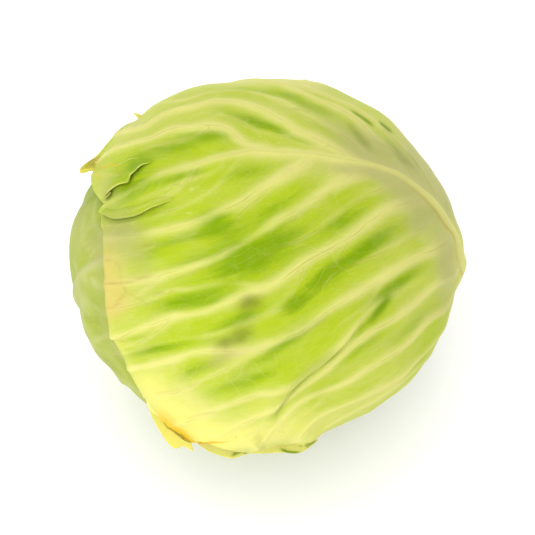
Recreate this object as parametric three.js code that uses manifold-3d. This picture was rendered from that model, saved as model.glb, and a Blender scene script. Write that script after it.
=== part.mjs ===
// A green cabbage head, cut and trimmed for sale, lying on its side. Millimetres, +Z up, the floor at z = 0.
// The stalk points to +X, a little away and down. Four wrapper leaves lie over one another round a tight heart:
// each is a thin shell with a thick midrib and raised side veins, and grows from the cone of the cut stalk.
import * as THREE from "three";
import Module from "manifold-3d";
import { mergeVertices } from "three/addons/utils/BufferGeometryUtils.js";

// Driving dimensions
const MM_PER_PIXEL = 0.43; // real size of one pixel of the photograph, at the head's centre
const EYE_DISTANCE = 1500; // from the head's centre to the eye of the photograph
const EYE_HEIGHT = 60; // degrees of the photograph's view above the horizon
const STALK_TURN = 30; // degrees by which the stalk points away from the eye
const DEPTH_NEAR = 81; // half thickness of the head towards the eye
const DEPTH_FAR = 81; // half thickness of the head away from the eye
const REST_DEPTH = 76; // from the head's centre down to the floor
const HEAD_X = -0.05; // the head's centre, set so that the whole part is centred on the origin
const HEAD_Y = -1.4;
const REST_BLEND = 2.2; // softness of the edge of the flat spot
const DIMPLE_DEPTH = 9; // hollow round the stalk
const DIMPLE_SPREAD = 16; // degrees
const BLADE = 1.3; // thickness of a leaf between its veins
const GAP = 0.95; // free space between two leaves
const HEART_GAP = 1.2; // free space between the heart and the leaf on it
const STALK_CONE = 12; // half angle of the stalk's cone, seen from the head's centre
const STALK_END = 79; // from the head's centre to the cut face
const STALK_ROOT = 44; // from the head's centre to the stalk's inner end
const LEAF_BASE = 12.9; // degrees from the stalk's axis at which a leaf starts
const MM_PER_DEGREE = 1.42; // arc on the head's surface

// The head's outline in the photograph, in pixels, anticlockwise from the right.
const HEAD_CENTRE_PX = [268, 268];
const OUTLINE_PX = [
  [467, 262], [461, 228], [449, 197], [430, 168], [407, 139], [382, 113], [347, 95], [305, 81],
  [262, 79], [225, 82], [190, 88], [155, 106], [122, 132], [98, 163], [80, 200], [69, 240],
  [69, 280], [79, 320], [95, 356], [124, 388], [160, 419], [200, 440], [250, 448], [300, 441],
  [345, 424], [385, 403], [417, 374], [440, 342], [453, 312], [463, 288],
];

const radians = THREE.MathUtils.degToRad;
const smoothstep = THREE.MathUtils.smoothstep;
const lerp = THREE.MathUtils.lerp;

// Directions
const right = new THREE.Vector3(1, 0, 0);
const toEye = new THREE.Vector3(0, -Math.cos(radians(EYE_HEIGHT)), Math.sin(radians(EYE_HEIGHT)));
const up = new THREE.Vector3().crossVectors(toEye, right);
const stalkAxis = right.clone().multiplyScalar(Math.cos(radians(STALK_TURN)))
  .addScaledVector(toEye, -Math.sin(radians(STALK_TURN)));
const faceSide = new THREE.Vector3().crossVectors(up, stalkAxis).negate();

// A flat map of the head's directions, in degrees from its centre: the azimuthal map.
function makeMap(centre, across, along) {
  return { centre, across, along };
}

function directionOf(map, x, y) {
  const far = Math.hypot(x, y);
  const side = far > 1e-9 ? Math.sin(radians(far)) / far : 0;
  return map.centre.clone().multiplyScalar(Math.cos(radians(far)))
    .addScaledVector(map.across, x * side).addScaledVector(map.along, y * side);
}

function placeOf(map, direction) {
  const x = direction.dot(map.across);
  const y = direction.dot(map.along);
  const far = THREE.MathUtils.radToDeg(Math.acos(THREE.MathUtils.clamp(direction.dot(map.centre), -1, 1)));
  const scale = far / Math.max(Math.hypot(x, y), 1e-9);
  return [x * scale, y * scale];
}

// The head's round body, as a distance from its centre
const outline = OUTLINE_PX.map(([px, py]) => {
  const x = px - HEAD_CENTRE_PX[0];
  const y = HEAD_CENTRE_PX[1] - py;
  return { turn: (Math.atan2(y, x) + 2 * Math.PI) % (2 * Math.PI), far: Math.hypot(x, y) * MM_PER_PIXEL };
}).sort((a, b) => a.turn - b.turn);

// Outline's distance at a turn about the line of sight, by a smooth curve through its points.
function outlineAt(turn) {
  const n = outline.length;
  const full = 2 * Math.PI;
  const at = ((turn % full) + full) % full;
  const point = (k) => {
    const p = outline[((k % n) + n) % n];
    return { turn: p.turn + full * Math.floor(k / n), far: p.far };
  };
  let k = outline.findIndex((p) => p.turn > at);
  k = (k < 0 ? n : k) - 1;
  const [a, b, c, d] = [point(k - 1), point(k), point(k + 1), point(k + 2)];
  const here = at < b.turn ? at + full : at;
  const span = c.turn - b.turn;
  const t = (here - b.turn) / span;
  const slopeB = ((c.far - a.far) / (c.turn - a.turn)) * span;
  const slopeC = ((d.far - b.far) / (d.turn - b.turn)) * span;
  return b.far * (1 + 2 * t) * (1 - t) ** 2 + slopeB * t * (1 - t) ** 2
    + c.far * t * t * (3 - 2 * t) + slopeC * t * t * (t - 1);
}

function bodyRadius(direction) {
  const x = direction.dot(right);
  const y = direction.dot(up);
  const z = direction.dot(toEye);
  const side = Math.hypot(x, y) / outlineAt(Math.atan2(y, x));
  const round = 1 / Math.hypot(side, z / (z > 0 ? DEPTH_NEAR : DEPTH_FAR));
  const fromStalk = THREE.MathUtils.radToDeg(direction.angleTo(stalkAxis));
  return round - DIMPLE_DEPTH * Math.exp(-((fromStalk / DIMPLE_SPREAD) ** 2));
}

// Distance from the head's centre of a layer that lies `inset` under the body, flattened where the head rests.
function layerRadius(direction, inset) {
  const free = bodyRadius(direction) - inset;
  if (direction.z > -0.3) return free;
  const floor = (REST_DEPTH - inset) / -direction.z;
  const near = Math.max(REST_BLEND - Math.abs(free - floor), 0);
  return Math.min(free, floor) - (near * near) / (4 * REST_BLEND);
}

// Places on the photograph's map
const photoMap = makeMap(toEye, right, up);

// A point that the photograph shows, given by its pixel.
function seen(px, py) {
  const x = px - HEAD_CENTRE_PX[0];
  const y = HEAD_CENTRE_PX[1] - py;
  const turn = Math.atan2(y, x);
  const rim = outlineAt(turn);
  const share = Math.min((Math.hypot(x, y) * MM_PER_PIXEL) / rim, 1);
  const lean = share * (rim / EYE_DISTANCE);
  const far = Math.asin(share / Math.hypot(1, lean)) - Math.atan(lean);
  return hidden(THREE.MathUtils.radToDeg(turn), THREE.MathUtils.radToDeg(far));
}

// A point that it doesn't show: its turn about the line of sight, and its degrees from that line.
function hidden(turn, far) {
  return [far * Math.cos(radians(turn)), far * Math.sin(radians(turn))];
}

const curve = (points) => new THREE.CatmullRomCurve3(points.map(([x, y]) => new THREE.Vector3(x, y, 0)), false, "centripetal");
const pixels = (points) => points.map(([px, py]) => seen(px, py));

// Leaf 1: the outermost, traced from the photograph
// Each side vein runs from the midrib to the margin, in order from the leaf's tip to its base.
// [how strong the vein is, its course, share of it that runs before it shows]; a strength of 0 only shapes the blade.
const face = {
  midrib: [
    hidden(-2, 106), hidden(0, 98),
    ...pixels([
      [465, 258], [459, 233], [443, 209], [431, 196], [417, 185], [403, 176], [389, 169], [367, 162], [346, 158],
      [317, 153], [289, 151], [253, 150], [231, 153], [210, 156], [193, 161], [167, 168], [147, 176], [128, 187], [112, 197], [101, 203],
    ]),
  ],
  lower: [
    [0, pixels([[101, 203], [97, 206], [94, 211]])],
    [0.3, pixels([[193, 161], [185, 172], [172, 186], [155, 197], [135, 206], [115, 213], [97, 215]])],
    [0.4, pixels([[245, 151], [228, 168], [214, 183], [198, 194], [178, 204], [150, 214], [120, 222], [97, 225]])],
    [1, pixels([[317, 153], [307, 159], [296, 167], [280, 177], [260, 189], [240, 200], [217, 209], [195, 219], [172, 226], [146, 232], [120, 236], [99, 238]])],
    [1, pixels([[378, 165], [364, 169], [347, 177], [330, 187], [313, 200], [295, 212], [275, 223], [255, 236], [235, 248], [212, 259], [185, 268], [160, 275], [136, 282], [101, 285]])],
    [0.4, pixels([[403, 176], [384, 187], [365, 196], [345, 209], [325, 224], [303, 239], [280, 247], [262, 256], [240, 270], [215, 282], [190, 289], [165, 294], [140, 303], [104, 312]])],
    [1, pixels([[431, 196], [403, 204], [389, 209], [379, 216], [367, 226], [354, 236], [340, 244], [322, 254], [306, 263], [293, 272], [279, 281], [264, 288], [246, 294], [228, 302], [203, 312], [174, 318], [146, 328], [112, 340]])],
    [0.4, pixels([[446, 214], [419, 231], [394, 248], [365, 261], [339, 272], [314, 293], [290, 304], [265, 316], [238, 327], [210, 336], [184, 339], [155, 346], [121, 355]])],
    [1, pixels([[457, 230], [444, 246], [422, 257], [408, 265], [388, 277], [359, 292], [329, 309], [301, 326], [272, 340], [250, 348], [224, 350], [197, 352], [169, 361], [140, 367], [128, 370]])],
    [0.6, pixels([[462, 243], [452, 260], [430, 266], [400, 280], [370, 296], [340, 313], [310, 330], [282, 344], [250, 356], [229, 368], [206, 379], [183, 390], [160, 396], [143, 398]]), 0.6],
    [0.9, pixels([[464, 251], [455, 268], [432, 276], [402, 290], [378, 304], [358, 321], [338, 341], [311, 363], [280, 385], [257, 392], [224, 406], [196, 418], [166, 430]]), 0.25],
    [0.9, pixels([[465, 258], [459, 272], [444, 281], [422, 297], [394, 319], [365, 334], [345, 349], [322, 368], [298, 385], [277, 402], [250, 418], [222, 433], [194, 446]])],
    [0.9, [hidden(1, 92), ...pixels([[462, 283], [451, 302], [429, 321], [409, 342], [388, 356], [365, 369], [338, 382], [312, 391], [294, 403], [279, 422], [262, 442], [246, 457]])]],
    [0.8, [hidden(0, 96), hidden(-8, 92), ...pixels([[449, 318], [436, 342], [418, 361], [398, 380], [377, 391], [350, 401], [322, 414], [306, 426], [295, 440], [286, 452]])]],
    [0.6, [hidden(-1, 100), hidden(-12, 97), hidden(-25, 92), ...pixels([[418, 370], [394, 389], [365, 406], [340, 419], [322, 430], [310, 440]]), hidden(-77, 90)]],
    [0.5, [hidden(-2, 103), hidden(-14, 102), hidden(-28, 99), hidden(-42, 97), hidden(-54, 97), hidden(-63, 96), hidden(-71, 96)]],
    [0, [hidden(-2, 106), hidden(-10, 107), hidden(-20, 107.5), hidden(-31, 107), hidden(-42, 106), hidden(-53, 104), hidden(-63, 101)]],
  ],
  upper: [
    [0, pixels([[101, 203], [96, 198], [91, 189]])],
    [0.2, pixels([[175, 166], [150, 168], [125, 172], [106, 174], [88, 173]])],
    [0.9, pixels([[275, 150], [262, 147], [250, 145], [240, 138], [228, 128], [212, 123], [190, 125], [168, 128], [150, 137], [130, 142], [114, 149], [97, 161]])],
    [1, [...pixels([[360, 161], [348, 153], [334, 145], [318, 137], [300, 130], [280, 119], [260, 109], [240, 103], [217, 101], [195, 105], [174, 109], [158, 116], [143, 126]]), hidden(141, 92), hidden(146, 106)]],
    [0.4, [...pixels([[392, 171], [378, 156], [362, 144], [345, 133], [325, 122], [305, 112], [285, 101], [262, 94], [238, 91], [212, 92], [186, 98]]), hidden(127, 90), hidden(134, 108)]],
    [0.9, [...pixels([[425, 191], [417, 175], [406, 162], [394, 151], [380, 141], [367, 128], [355, 117], [338, 108], [317, 99], [298, 90], [276, 83]]), hidden(99, 93), hidden(108, 106), hidden(118, 120)]],
    [0.5, [...pixels([[446, 214], [440, 195], [428, 175], [411, 155], [394, 137], [376, 121], [354, 107], [332, 97], [312, 89]]), hidden(80, 93), hidden(90, 106), hidden(101, 122)]],
    [0.8, [hidden(1, 93), hidden(14, 94), hidden(29, 94), hidden(44, 95), hidden(57, 98), hidden(69, 105), hidden(80, 114), hidden(90, 124)]],
    [0, [hidden(-2, 106), hidden(9, 108), hidden(22, 110), hidden(36, 113), hidden(50, 117), hidden(62, 122), hidden(72, 128)]],
  ],
};

// The other leaves, by rule
// Half of a leaf's side veins: each leaves the midrib, bends towards the tip and ends on an oval margin.
function sideVeins(side, shape, random) {
  const veins = [[0, [[shape.bow * Math.sin(4.5), shape.tip], [shape.bow * Math.sin(4.5) + side * 7, shape.tip - 0.8]]]];
  for (let k = 1; k <= shape.count; k += 1) {
    const share = k / (shape.count + 0.6);
    const from = lerp(shape.tip - 9, -90 + LEAF_BASE + 2, share ** 0.92) + 2.2 * (random() - 0.5);
    const turn = radians(lerp(12, 130, share) + 4 * (random() - 0.5));
    const reach = Math.cos(turn) > 0 ? shape.tip : shape.foot;
    const end = [side * shape.width * Math.sin(turn) ** 0.9, reach * Math.cos(turn)];
    const bend = 0.3 + 0.12 * random();
    const course = [0, 0.12, 0.3, 0.5, 0.75, 1].map((t) => {
      const via = [end[0] * 0.5, lerp(from, end[1], bend)];
      return [
        2 * t * (1 - t) * via[0] + t * t * end[0],
        (1 - t) ** 2 * from + 2 * t * (1 - t) * via[1] + t * t * end[1],
      ];
    });
    veins.push([k % 3 === 2 ? 0.55 : 1, course]);
  }
  const foot = -90 + LEAF_BASE;
  veins.push([0, [[0, foot], [side * 7, foot + 0.8], [side * 16, foot + 3.5], [side * 28, foot + 9], [side * 42, foot + 16]]]);
  return veins;
}

function seeded(seed) {
  let state = seed;
  return () => {
    state = (state * 16807) % 2147483647;
    return state / 2147483647;
  };
}

function ruledLeaf(shape) {
  const random = seeded(shape.seed);
  const spine = [-90 + LEAF_BASE, -55, -20, 15, 50, shape.tip].map((y, k) => [shape.bow * Math.sin(k * 0.9), y]);
  spine[0][0] = 0;
  const lower = sideVeins(1, shape, random);
  const upper = sideVeins(-1, shape, random);
  return { midrib: spine, lower, upper };
}

// A map centred half way along a leaf whose midrib runs at `turn` degrees round the stalk's axis.
function mapAround(turn) {
  const centre = faceSide.clone().multiplyScalar(Math.cos(radians(turn))).addScaledVector(up, Math.sin(radians(turn)));
  const along = stalkAxis.clone().negate();
  return makeMap(centre, new THREE.Vector3().crossVectors(along, centre), along);
}

// A leaf's surface: a grid along its side veins, closed over the midrib
function splineAcross(a, b, c, d, t) {
  return 0.5 * (2 * b + (c - a) * t + (2 * a - 5 * b + 4 * c - d) * t * t + (3 * b - a - 3 * c + d) * t * t * t);
}

function nearestShare(path, point) {
  let best = [Infinity, 0];
  for (let k = 0; k <= 400; k += 1) {
    const p = path.getPointAt(k / 400);
    const far = Math.hypot(p.x - point[0], p.y - point[1]);
    if (far < best[0]) best = [far, k / 400];
  }
  return best[1];
}

// Rows run across the veins from tip to base, columns along them from the midrib to the margin.
function wingRows(midrib, veins, steps, columns, midribWidth) {
  const paths = veins.map(([, points]) => curve(points));
  const starts = veins.map(([, points]) => nearestShare(midrib, points[0]));
  starts[0] = 1;
  starts[starts.length - 1] = 0;
  const rows = [];
  for (let k = 0; k < veins.length - 1; k += 1) {
    for (const t of steps) rows.push([k, t]);
  }
  rows.push([veins.length - 2, 1]);
  return rows.map(([k, t]) => {
    const along = lerp(starts[k], starts[k + 1], t);
    const root = midrib.getPointAt(along);
    const at = (j, u) => paths[THREE.MathUtils.clamp(j, 0, paths.length - 1)].getPointAt(u);
    const across = (u) => {
      const [a, b, c, d] = [at(k - 1, u), at(k, u), at(k + 1, u), at(k + 2, u)];
      return [splineAcross(a.x, b.x, c.x, d.x, t), splineAcross(a.y, b.y, c.y, d.y, t)];
    };
    const first = across(0);
    const length = lerp(paths[k].getLength(), paths[k + 1].getLength(), t) * MM_PER_DEGREE;
    const narrow = Math.min(midribWidth(along) / length, 0.3);
    const [showA, showB] = [veins[k][2] ?? 0, veins[k + 1][2] ?? 0];
    const cells = [];
    for (let j = 1; j <= columns; j += 1) {
      const u = j === 1 ? narrow * 0.6 : lerp(narrow * 1.15, 1, (j - 2) / (columns - 2));
      const [x, y] = across(u);
      const pull = (1 - u) ** 3;
      const spread = at(k, u).distanceTo(at(k + 1, u)) * MM_PER_DEGREE;
      const [strength, shows] = t < 0.5 ? [veins[k][0], showA] : [veins[k + 1][0], showB];
      const ridge = Math.max(1 - (Math.min(t, 1 - t) / 0.4) ** 2, 0);
      cells.push({
        x: x + (root.x - first[0]) * pull,
        y: y + (root.y - first[1]) * pull,
        u,
        vein: strength * ridge * smoothstep(u, shows - 0.12, shows + 0.12) * smoothstep(spread, 1, 9),
      });
    }
    return { along, root, cells };
  });
}

// Twice the area of a triangle on the leaf's map, positive where it turns anticlockwise.
function mapArea([p, q, r]) {
  return (q.x - p.x) * (r.y - p.y) - (q.y - p.y) * (r.x - p.x);
}

function leafSurface(plan, map, detail) {
  const midrib = curve(plan.midrib);
  const wide = (along) => lerp(plan.midribWidth[0], plan.midribWidth[1], along);
  const places = [];
  const triangles = [];
  const add = (place) => places.push(place) - 1;
  const wings = [plan.lower, plan.upper].map((veins) => wingRows(midrib, veins, detail.steps, detail.columns, wide));
  const stops = wings[0].map((row) => row.along);
  const spine = stops.map((along) => {
    const p = midrib.getPointAt(along);
    return { along, index: add({ x: p.x, y: p.y, u: 0, vein: 0, along }) };
  });
  for (const rows of wings) {
    const wing = [];
    const indices = rows.map((row) => row.cells.map((cell) => add({ ...cell, along: row.along })));
    for (let i = 0; i < rows.length - 1; i += 1) {
      for (let j = 0; j < detail.columns - 1; j += 1) {
        const [a, b, c, d] = [indices[i][j], indices[i][j + 1], indices[i + 1][j + 1], indices[i + 1][j]];
        wing.push([a, b, c], [a, c, d]);
      }
    }
    let i = 0;
    let j = 0;
    while (i < spine.length - 1 || j < rows.length - 1) {
      const nextSpine = i < spine.length - 1 ? spine[i].along + spine[i + 1].along : -1;
      const nextRow = j < rows.length - 1 ? rows[j].along + rows[j + 1].along : -1;
      if (nextSpine > nextRow) {
        wing.push([spine[i].index, indices[j][0], spine[i + 1].index]);
        i += 1;
      } else {
        wing.push([spine[i].index, indices[j][0], indices[j + 1][0]]);
        j += 1;
      }
    }
    const area = wing.reduce((sum, corners) => sum + mapArea(corners.map((k) => places[k])), 0);
    triangles.push(...(area > 0 ? wing : wing.map(([a, b, c]) => [a, c, b])));
  }
  const midribPoints = midrib.getSpacedPoints(40).map((p) => directionOf(map, p.x, p.y));
  for (const place of places) {
    place.direction = directionOf(map, place.x, place.y);
    place.fromMidrib = degreesToPath(place.direction, midribPoints) * MM_PER_DEGREE;
  }
  const edge = [plan.lower, plan.upper].map((veins) => {
    const paths = veins.map(([, points]) => curve(points));
    return [...paths[0].getSpacedPoints(3), ...paths.slice(1, -1).map((p) => p.getPointAt(1)), ...paths.at(-1).getSpacedPoints(6).reverse()];
  });
  const margin = [...edge[0].reverse(), ...edge[1]].map((p) => [p.x, p.y]);
  return { map, places, triangles, midribPoints, margin };
}

// Least angle from a direction to a path of directions, in degrees.
function degreesToPath(direction, path) {
  let best = Infinity;
  const onto = new THREE.Vector3();
  const line = new THREE.Line3();
  for (let k = 0; k < path.length - 1; k += 1) {
    line.set(path[k], path[k + 1]).closestPointToPoint(direction, true, onto);
    best = Math.min(best, onto.distanceTo(direction));
  }
  return THREE.MathUtils.radToDeg(2 * Math.asin(Math.min(best / 2, 1)));
}

// Layers
// Share by which a leaf presses down on what is under it: 1 on the leaf, falling to 0 past its margin.
const PRESS_FADE = 24; // mm past the margin
function pressOf(leaf, direction) {
  const [x, y] = placeOf(leaf.map, direction);
  let inside = false;
  let best = Infinity;
  const n = leaf.margin.length;
  for (let k = 0; k < n; k += 1) {
    const [ax, ay] = leaf.margin[k];
    const [bx, by] = leaf.margin[(k + 1) % n];
    if (ay > y !== by > y && x < ((bx - ax) * (y - ay)) / (by - ay) + ax) inside = !inside;
    const [dx, dy] = [bx - ax, by - ay];
    const t = THREE.MathUtils.clamp(((x - ax) * dx + (y - ay) * dy) / (dx * dx + dy * dy || 1), 0, 1);
    best = Math.min(best, Math.hypot(x - ax - t * dx, y - ay - t * dy));
  }
  if (inside) return 1;
  const past = Math.max(best * MM_PER_DEGREE - 2.5, 0);
  return 1 - smoothstep(past, 0, PRESS_FADE);
}

// Room that a leaf leaves under its outer limit for its own veins, most along the midrib's thick foot.
function veinRoom(leaf, direction) {
  const near = degreesToPath(direction, leaf.midribPoints) * MM_PER_DEGREE;
  const fromStalk = THREE.MathUtils.radToDeg(direction.angleTo(stalkAxis));
  const foot = 1 - smoothstep(fromStalk, 25, 150);
  return leaf.plan.room + leaf.plan.midribRoom * lerp(0.3, 1, foot) * Math.exp(-((near / 15) ** 2));
}

function inset(leaves, count, direction) {
  let deep = 0;
  for (let k = 0; k < count; k += 1) {
    const press = pressOf(leaves[k], direction);
    if (press > 0) deep += press * (veinRoom(leaves[k], direction) + BLADE + GAP);
  }
  return deep;
}

// Height of the veins over the blade, mm.
function relief(leaf, place) {
  const { plan } = leaf;
  const width = lerp(plan.midribWidth[0], plan.midribWidth[1], place.along);
  const ridge = Math.max(1 - (place.fromMidrib / width) ** 2, 0) ** 1.5;
  const midrib = lerp(plan.midribHeight[0], plan.midribHeight[1], place.along ** 0.7) * ridge;
  const side = plan.veinHeight * place.vein * lerp(1, 0.45, place.u);
  return Math.hypot(midrib, side);
}

// A closed shell: the outer face, the same triangles turned round for the inner face, and a rim between them.
function shell(outer, inner, triangles) {
  const n = outer.length;
  const sides = new Map();
  for (const [a, b, c] of triangles) {
    for (const [p, q] of [[a, b], [b, c], [c, a]]) {
      if (!sides.delete(`${q},${p}`)) sides.set(`${p},${q}`, [p, q]);
    }
  }
  const faces = [...triangles, ...triangles.map(([a, b, c]) => [a + n, c + n, b + n])];
  for (const [p, q] of sides.values()) faces.push([p, p + n, q], [q, p + n, q + n]);
  const geometry = new THREE.BufferGeometry();
  geometry.setFromPoints([...outer, ...inner]);
  geometry.setIndex(faces.flat());
  return geometry;
}

const headCentre = new THREE.Vector3(HEAD_X, HEAD_Y, REST_DEPTH);
function pointAt(direction, deep) {
  const point = direction.clone().multiplyScalar(layerRadius(direction, deep)).add(headCentre);
  if (Math.abs(point.z) < 0.01) point.z = 0;
  return point;
}

// Local lifts of the outermost leaf's margin: [pixel, radius, height] in pixels and mm.
const LIFTS = [
  [[90, 171], 13, 4.5], [[176, 441], 12, 3.4], [[238, 452], 26, 4.2], [[308, 439], 14, 3.4], [[148, 112], 9, 1.5],
].map(([[px, py], radius, height]) => ({ at: seen(px, py), radius: radius * MM_PER_PIXEL, height }));

// Steps in the outermost leaf: a long crease, two tears that lap over and a pleat. The blade on the right-hand side
// of each course stands up by its height, mm, and comes down again over its reach, mm. A tear opens towards its end.
const FOLDS = [
  { course: pixels([[380, 287], [362, 312], [345, 335], [320, 356], [300, 372], [285, 388], [277, 402], [274, 418]]), height: 2.2, reach: 10, open: 0 },
  { course: pixels([[177, 195], [160, 202], [140, 211], [125, 217], [108, 219], [94, 213]]), height: 2.2, reach: 9, open: 1 },
  { course: pixels([[157, 153], [143, 163], [124, 179], [107, 189], [95, 197]]), height: 2.6, reach: 9, open: 1 },
  { course: pixels([[152, 339], [135, 341], [120, 338], [108, 340]]), height: 1.4, reach: 8, open: 1 },
].map((fold) => ({ ...fold, path: curve(fold.course).getSpacedPoints(24) }));

function foldLift({ path, height, reach, open }, place) {
  let nearest = { far: Infinity };
  for (let k = 0; k < path.length - 1; k += 1) {
    const [dx, dy] = [path[k + 1].x - path[k].x, path[k + 1].y - path[k].y];
    const [px, py] = [place.x - path[k].x, place.y - path[k].y];
    const t = THREE.MathUtils.clamp((px * dx + py * dy) / (dx * dx + dy * dy), 0, 1);
    const far = Math.hypot(px - t * dx, py - t * dy) * MM_PER_DEGREE;
    if (far < nearest.far) nearest = { far, side: py * dx - px * dy < 0, share: (k + t) / (path.length - 1) };
  }
  const growth = smoothstep(nearest.share, 0, 0.5) * (open ? 1 : 1 - smoothstep(nearest.share, 0.6, 1));
  const fall = nearest.side ? Math.exp(-((nearest.far / reach) ** 2)) : 1 - smoothstep(nearest.far, 0, 2);
  return height * growth * fall;
}

function lift(place) {
  let most = 0;
  for (const { at, radius, height } of LIFTS) {
    const far = Math.hypot(place.x - at[0], place.y - at[1]) * MM_PER_DEGREE;
    most += height * Math.exp(-((far / radius) ** 2));
  }
  for (const fold of FOLDS) most = Math.max(most, foldLift(fold, place));
  return most;
}

function leafGeometry(leaves, order) {
  const leaf = leaves[order];
  const outer = [];
  const inner = [];
  for (const place of leaf.places) {
    const { direction } = place;
    const covered = inset(leaves, order, direction);
    const room = veinRoom(leaf, direction);
    const top = smoothstep(-direction.z, 0.9, 0.96);
    const height = lerp(relief(leaf, place), room, top) + (order === 0 ? lift(place) : 0);
    const thick = lerp(BLADE, 0.9, smoothstep(place.u, 0.85, 1));
    outer.push(pointAt(direction, covered + room - height));
    inner.push(pointAt(direction, covered + room + thick - (order === 0 ? lift(place) : 0)));
  }
  return shell(outer, inner, leaf.triangles);
}

// The leaves, from the outermost in
const FINE = { steps: [0, 0.22, 0.5, 0.78], columns: 13 };
const RULED = { room: 1.5, midribRoom: 3, midribWidth: [9, 3], midribHeight: [4.3, 1], veinHeight: 1.5 };
const PLAIN = { steps: [0, 0.25, 0.5, 0.75], columns: 9 };
const plans = [
  {
    name: "leaf_outer", map: photoMap, ...face, detail: FINE, colour: 0xc2d45a,
    room: 1, midribRoom: 3, midribWidth: [8.5, 3.2], midribHeight: [4.2, 1], veinHeight: 1.6,
  },
  {
    name: "leaf_back", map: mapAround(-158), ...ruledLeaf({ tip: 106, foot: 74, width: 92, count: 9, bow: 4, seed: 7 }),
    detail: PLAIN, colour: 0xbfd07a, ...RULED,
  },
  {
    name: "leaf_upper", map: mapAround(104), ...ruledLeaf({ tip: 86, foot: 72, width: 74, count: 8, bow: -4, seed: 19 }),
    detail: PLAIN, colour: 0xb9cd6a, ...RULED,
  },
  {
    name: "leaf_lower", map: mapAround(-78), ...ruledLeaf({ tip: 84, foot: 72, width: 72, count: 8, bow: 3, seed: 31 }),
    detail: PLAIN, colour: 0xc6d588, ...RULED,
  },
];
const leaves = plans.map((plan) => ({ ...leafSurface(plan, plan.map, plan.detail), plan }));

function leafMaterial(colour) {
  return new THREE.MeshStandardMaterial({ color: colour, roughness: 0.5, metalness: 0 });
}

const cabbage = new THREE.Group();
leaves.forEach((leaf, order) => {
  const mesh = new THREE.Mesh(leafGeometry(leaves, order), leafMaterial(leaf.plan.colour));
  mesh.name = leaf.plan.name;
  cabbage.add(mesh);
});

// The stalk: a cone cut off flat, and the heart with a socket for it
const wasm = await Module();
wasm.setup();

function toSolid(geometry) {
  const bare = geometry.clone();
  bare.deleteAttribute("normal");
  bare.deleteAttribute("uv");
  const merged = mergeVertices(bare, 1e-4);
  return new wasm.Manifold(new wasm.Mesh({
    numProp: 3,
    vertProperties: merged.attributes.position.array,
    triVerts: new Uint32Array(merged.index.array),
  }));
}

function toGeometry(solid) {
  const mesh = solid.getMesh();
  const geometry = new THREE.BufferGeometry();
  geometry.setAttribute("position", new THREE.BufferAttribute(mesh.vertProperties, 3));
  geometry.setIndex(new THREE.BufferAttribute(mesh.triVerts, 1));
  return geometry;
}

// A cone cut off between two distances along the stalk's axis, with softly rounded ends.
function coneAlongStalk(halfAngle, from, to, rounding) {
  const slope = Math.tan(radians(halfAngle));
  const profile = [[0, from], [from * slope - 2, from], [from * slope, from + 2]];
  profile.push([to * slope, to - rounding], [to * slope - rounding, to], [to * slope * 0.5, to - rounding * 0.3], [0, to - rounding * 0.5]);
  const geometry = new THREE.LatheGeometry(profile.map(([r, h]) => new THREE.Vector2(r, h)), 28);
  geometry.applyQuaternion(new THREE.Quaternion().setFromUnitVectors(new THREE.Vector3(0, 1, 0), stalkAxis));
  geometry.translate(headCentre.x, headCentre.y, headCentre.z);
  return geometry;
}

function heartGeometry() {
  const ball = new THREE.IcosahedronGeometry(1, 7);
  const position = ball.attributes.position;
  const direction = new THREE.Vector3();
  for (let k = 0; k < position.count; k += 1) {
    direction.fromBufferAttribute(position, k).normalize();
    const point = pointAt(direction, inset(leaves, leaves.length, direction) + HEART_GAP);
    position.setXYZ(k, point.x, point.y, point.z);
  }
  const socket = toSolid(coneAlongStalk(STALK_CONE + 0.7, STALK_ROOT - 1, STALK_END + 15, 1));
  return toGeometry(toSolid(ball).subtract(socket));
}

const heart = new THREE.Mesh(heartGeometry(), new THREE.MeshStandardMaterial({ color: 0xd9e2a6, roughness: 0.5, metalness: 0 }));
heart.name = "heart";
cabbage.add(heart);

const stalk = new THREE.Mesh(
  coneAlongStalk(STALK_CONE, STALK_ROOT, STALK_END, 1.5),
  new THREE.MeshStandardMaterial({ color: 0xd8d2a8, roughness: 0.7, metalness: 0 }),
);
stalk.name = "stalk";
cabbage.add(stalk);

export default cabbage;
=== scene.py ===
# A green cabbage head lying on its side: waxy wrapper leaves with pale veins, lapped round a tight heart on a
# cut stalk. The CAD frame gives the place and the size of every leaf. Here each leaf gets its fine surface
# and finish.
import math

import bpy
import numpy as np
from mathutils import Matrix, Vector


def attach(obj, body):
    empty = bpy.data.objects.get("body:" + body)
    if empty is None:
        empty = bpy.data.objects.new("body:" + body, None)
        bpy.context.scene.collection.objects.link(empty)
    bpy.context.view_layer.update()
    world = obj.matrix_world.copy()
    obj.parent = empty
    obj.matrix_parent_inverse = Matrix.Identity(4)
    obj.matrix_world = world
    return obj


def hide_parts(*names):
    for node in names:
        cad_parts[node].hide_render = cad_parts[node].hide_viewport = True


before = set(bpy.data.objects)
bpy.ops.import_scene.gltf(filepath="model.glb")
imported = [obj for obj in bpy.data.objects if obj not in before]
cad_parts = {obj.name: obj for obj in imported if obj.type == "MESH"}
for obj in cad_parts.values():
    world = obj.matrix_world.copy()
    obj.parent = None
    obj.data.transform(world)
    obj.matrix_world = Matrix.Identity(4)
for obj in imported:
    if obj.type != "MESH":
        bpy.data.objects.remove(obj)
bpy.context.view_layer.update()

# The outermost leaf. The real one is a thick, waxy blade that wraps the head, with a stout midrib from the
# stalk and side veins that stand out from it. It is torn and yellowed along its far margin. Sizes are in mm.
MILLIMETRE = 0.001
PIXEL = 0.43  # real size of one pixel of the photograph, at the head's centre
EYE_DISTANCE = 1500  # from the head's centre to the eye of the photograph
EYE_HEIGHT = math.radians(60)  # of the photograph's view above the horizon
STALK_TURN = math.radians(30)  # by which the stalk points away from the eye
HEAD_DEPTH = 81  # half thickness of the head along the line of sight
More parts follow.
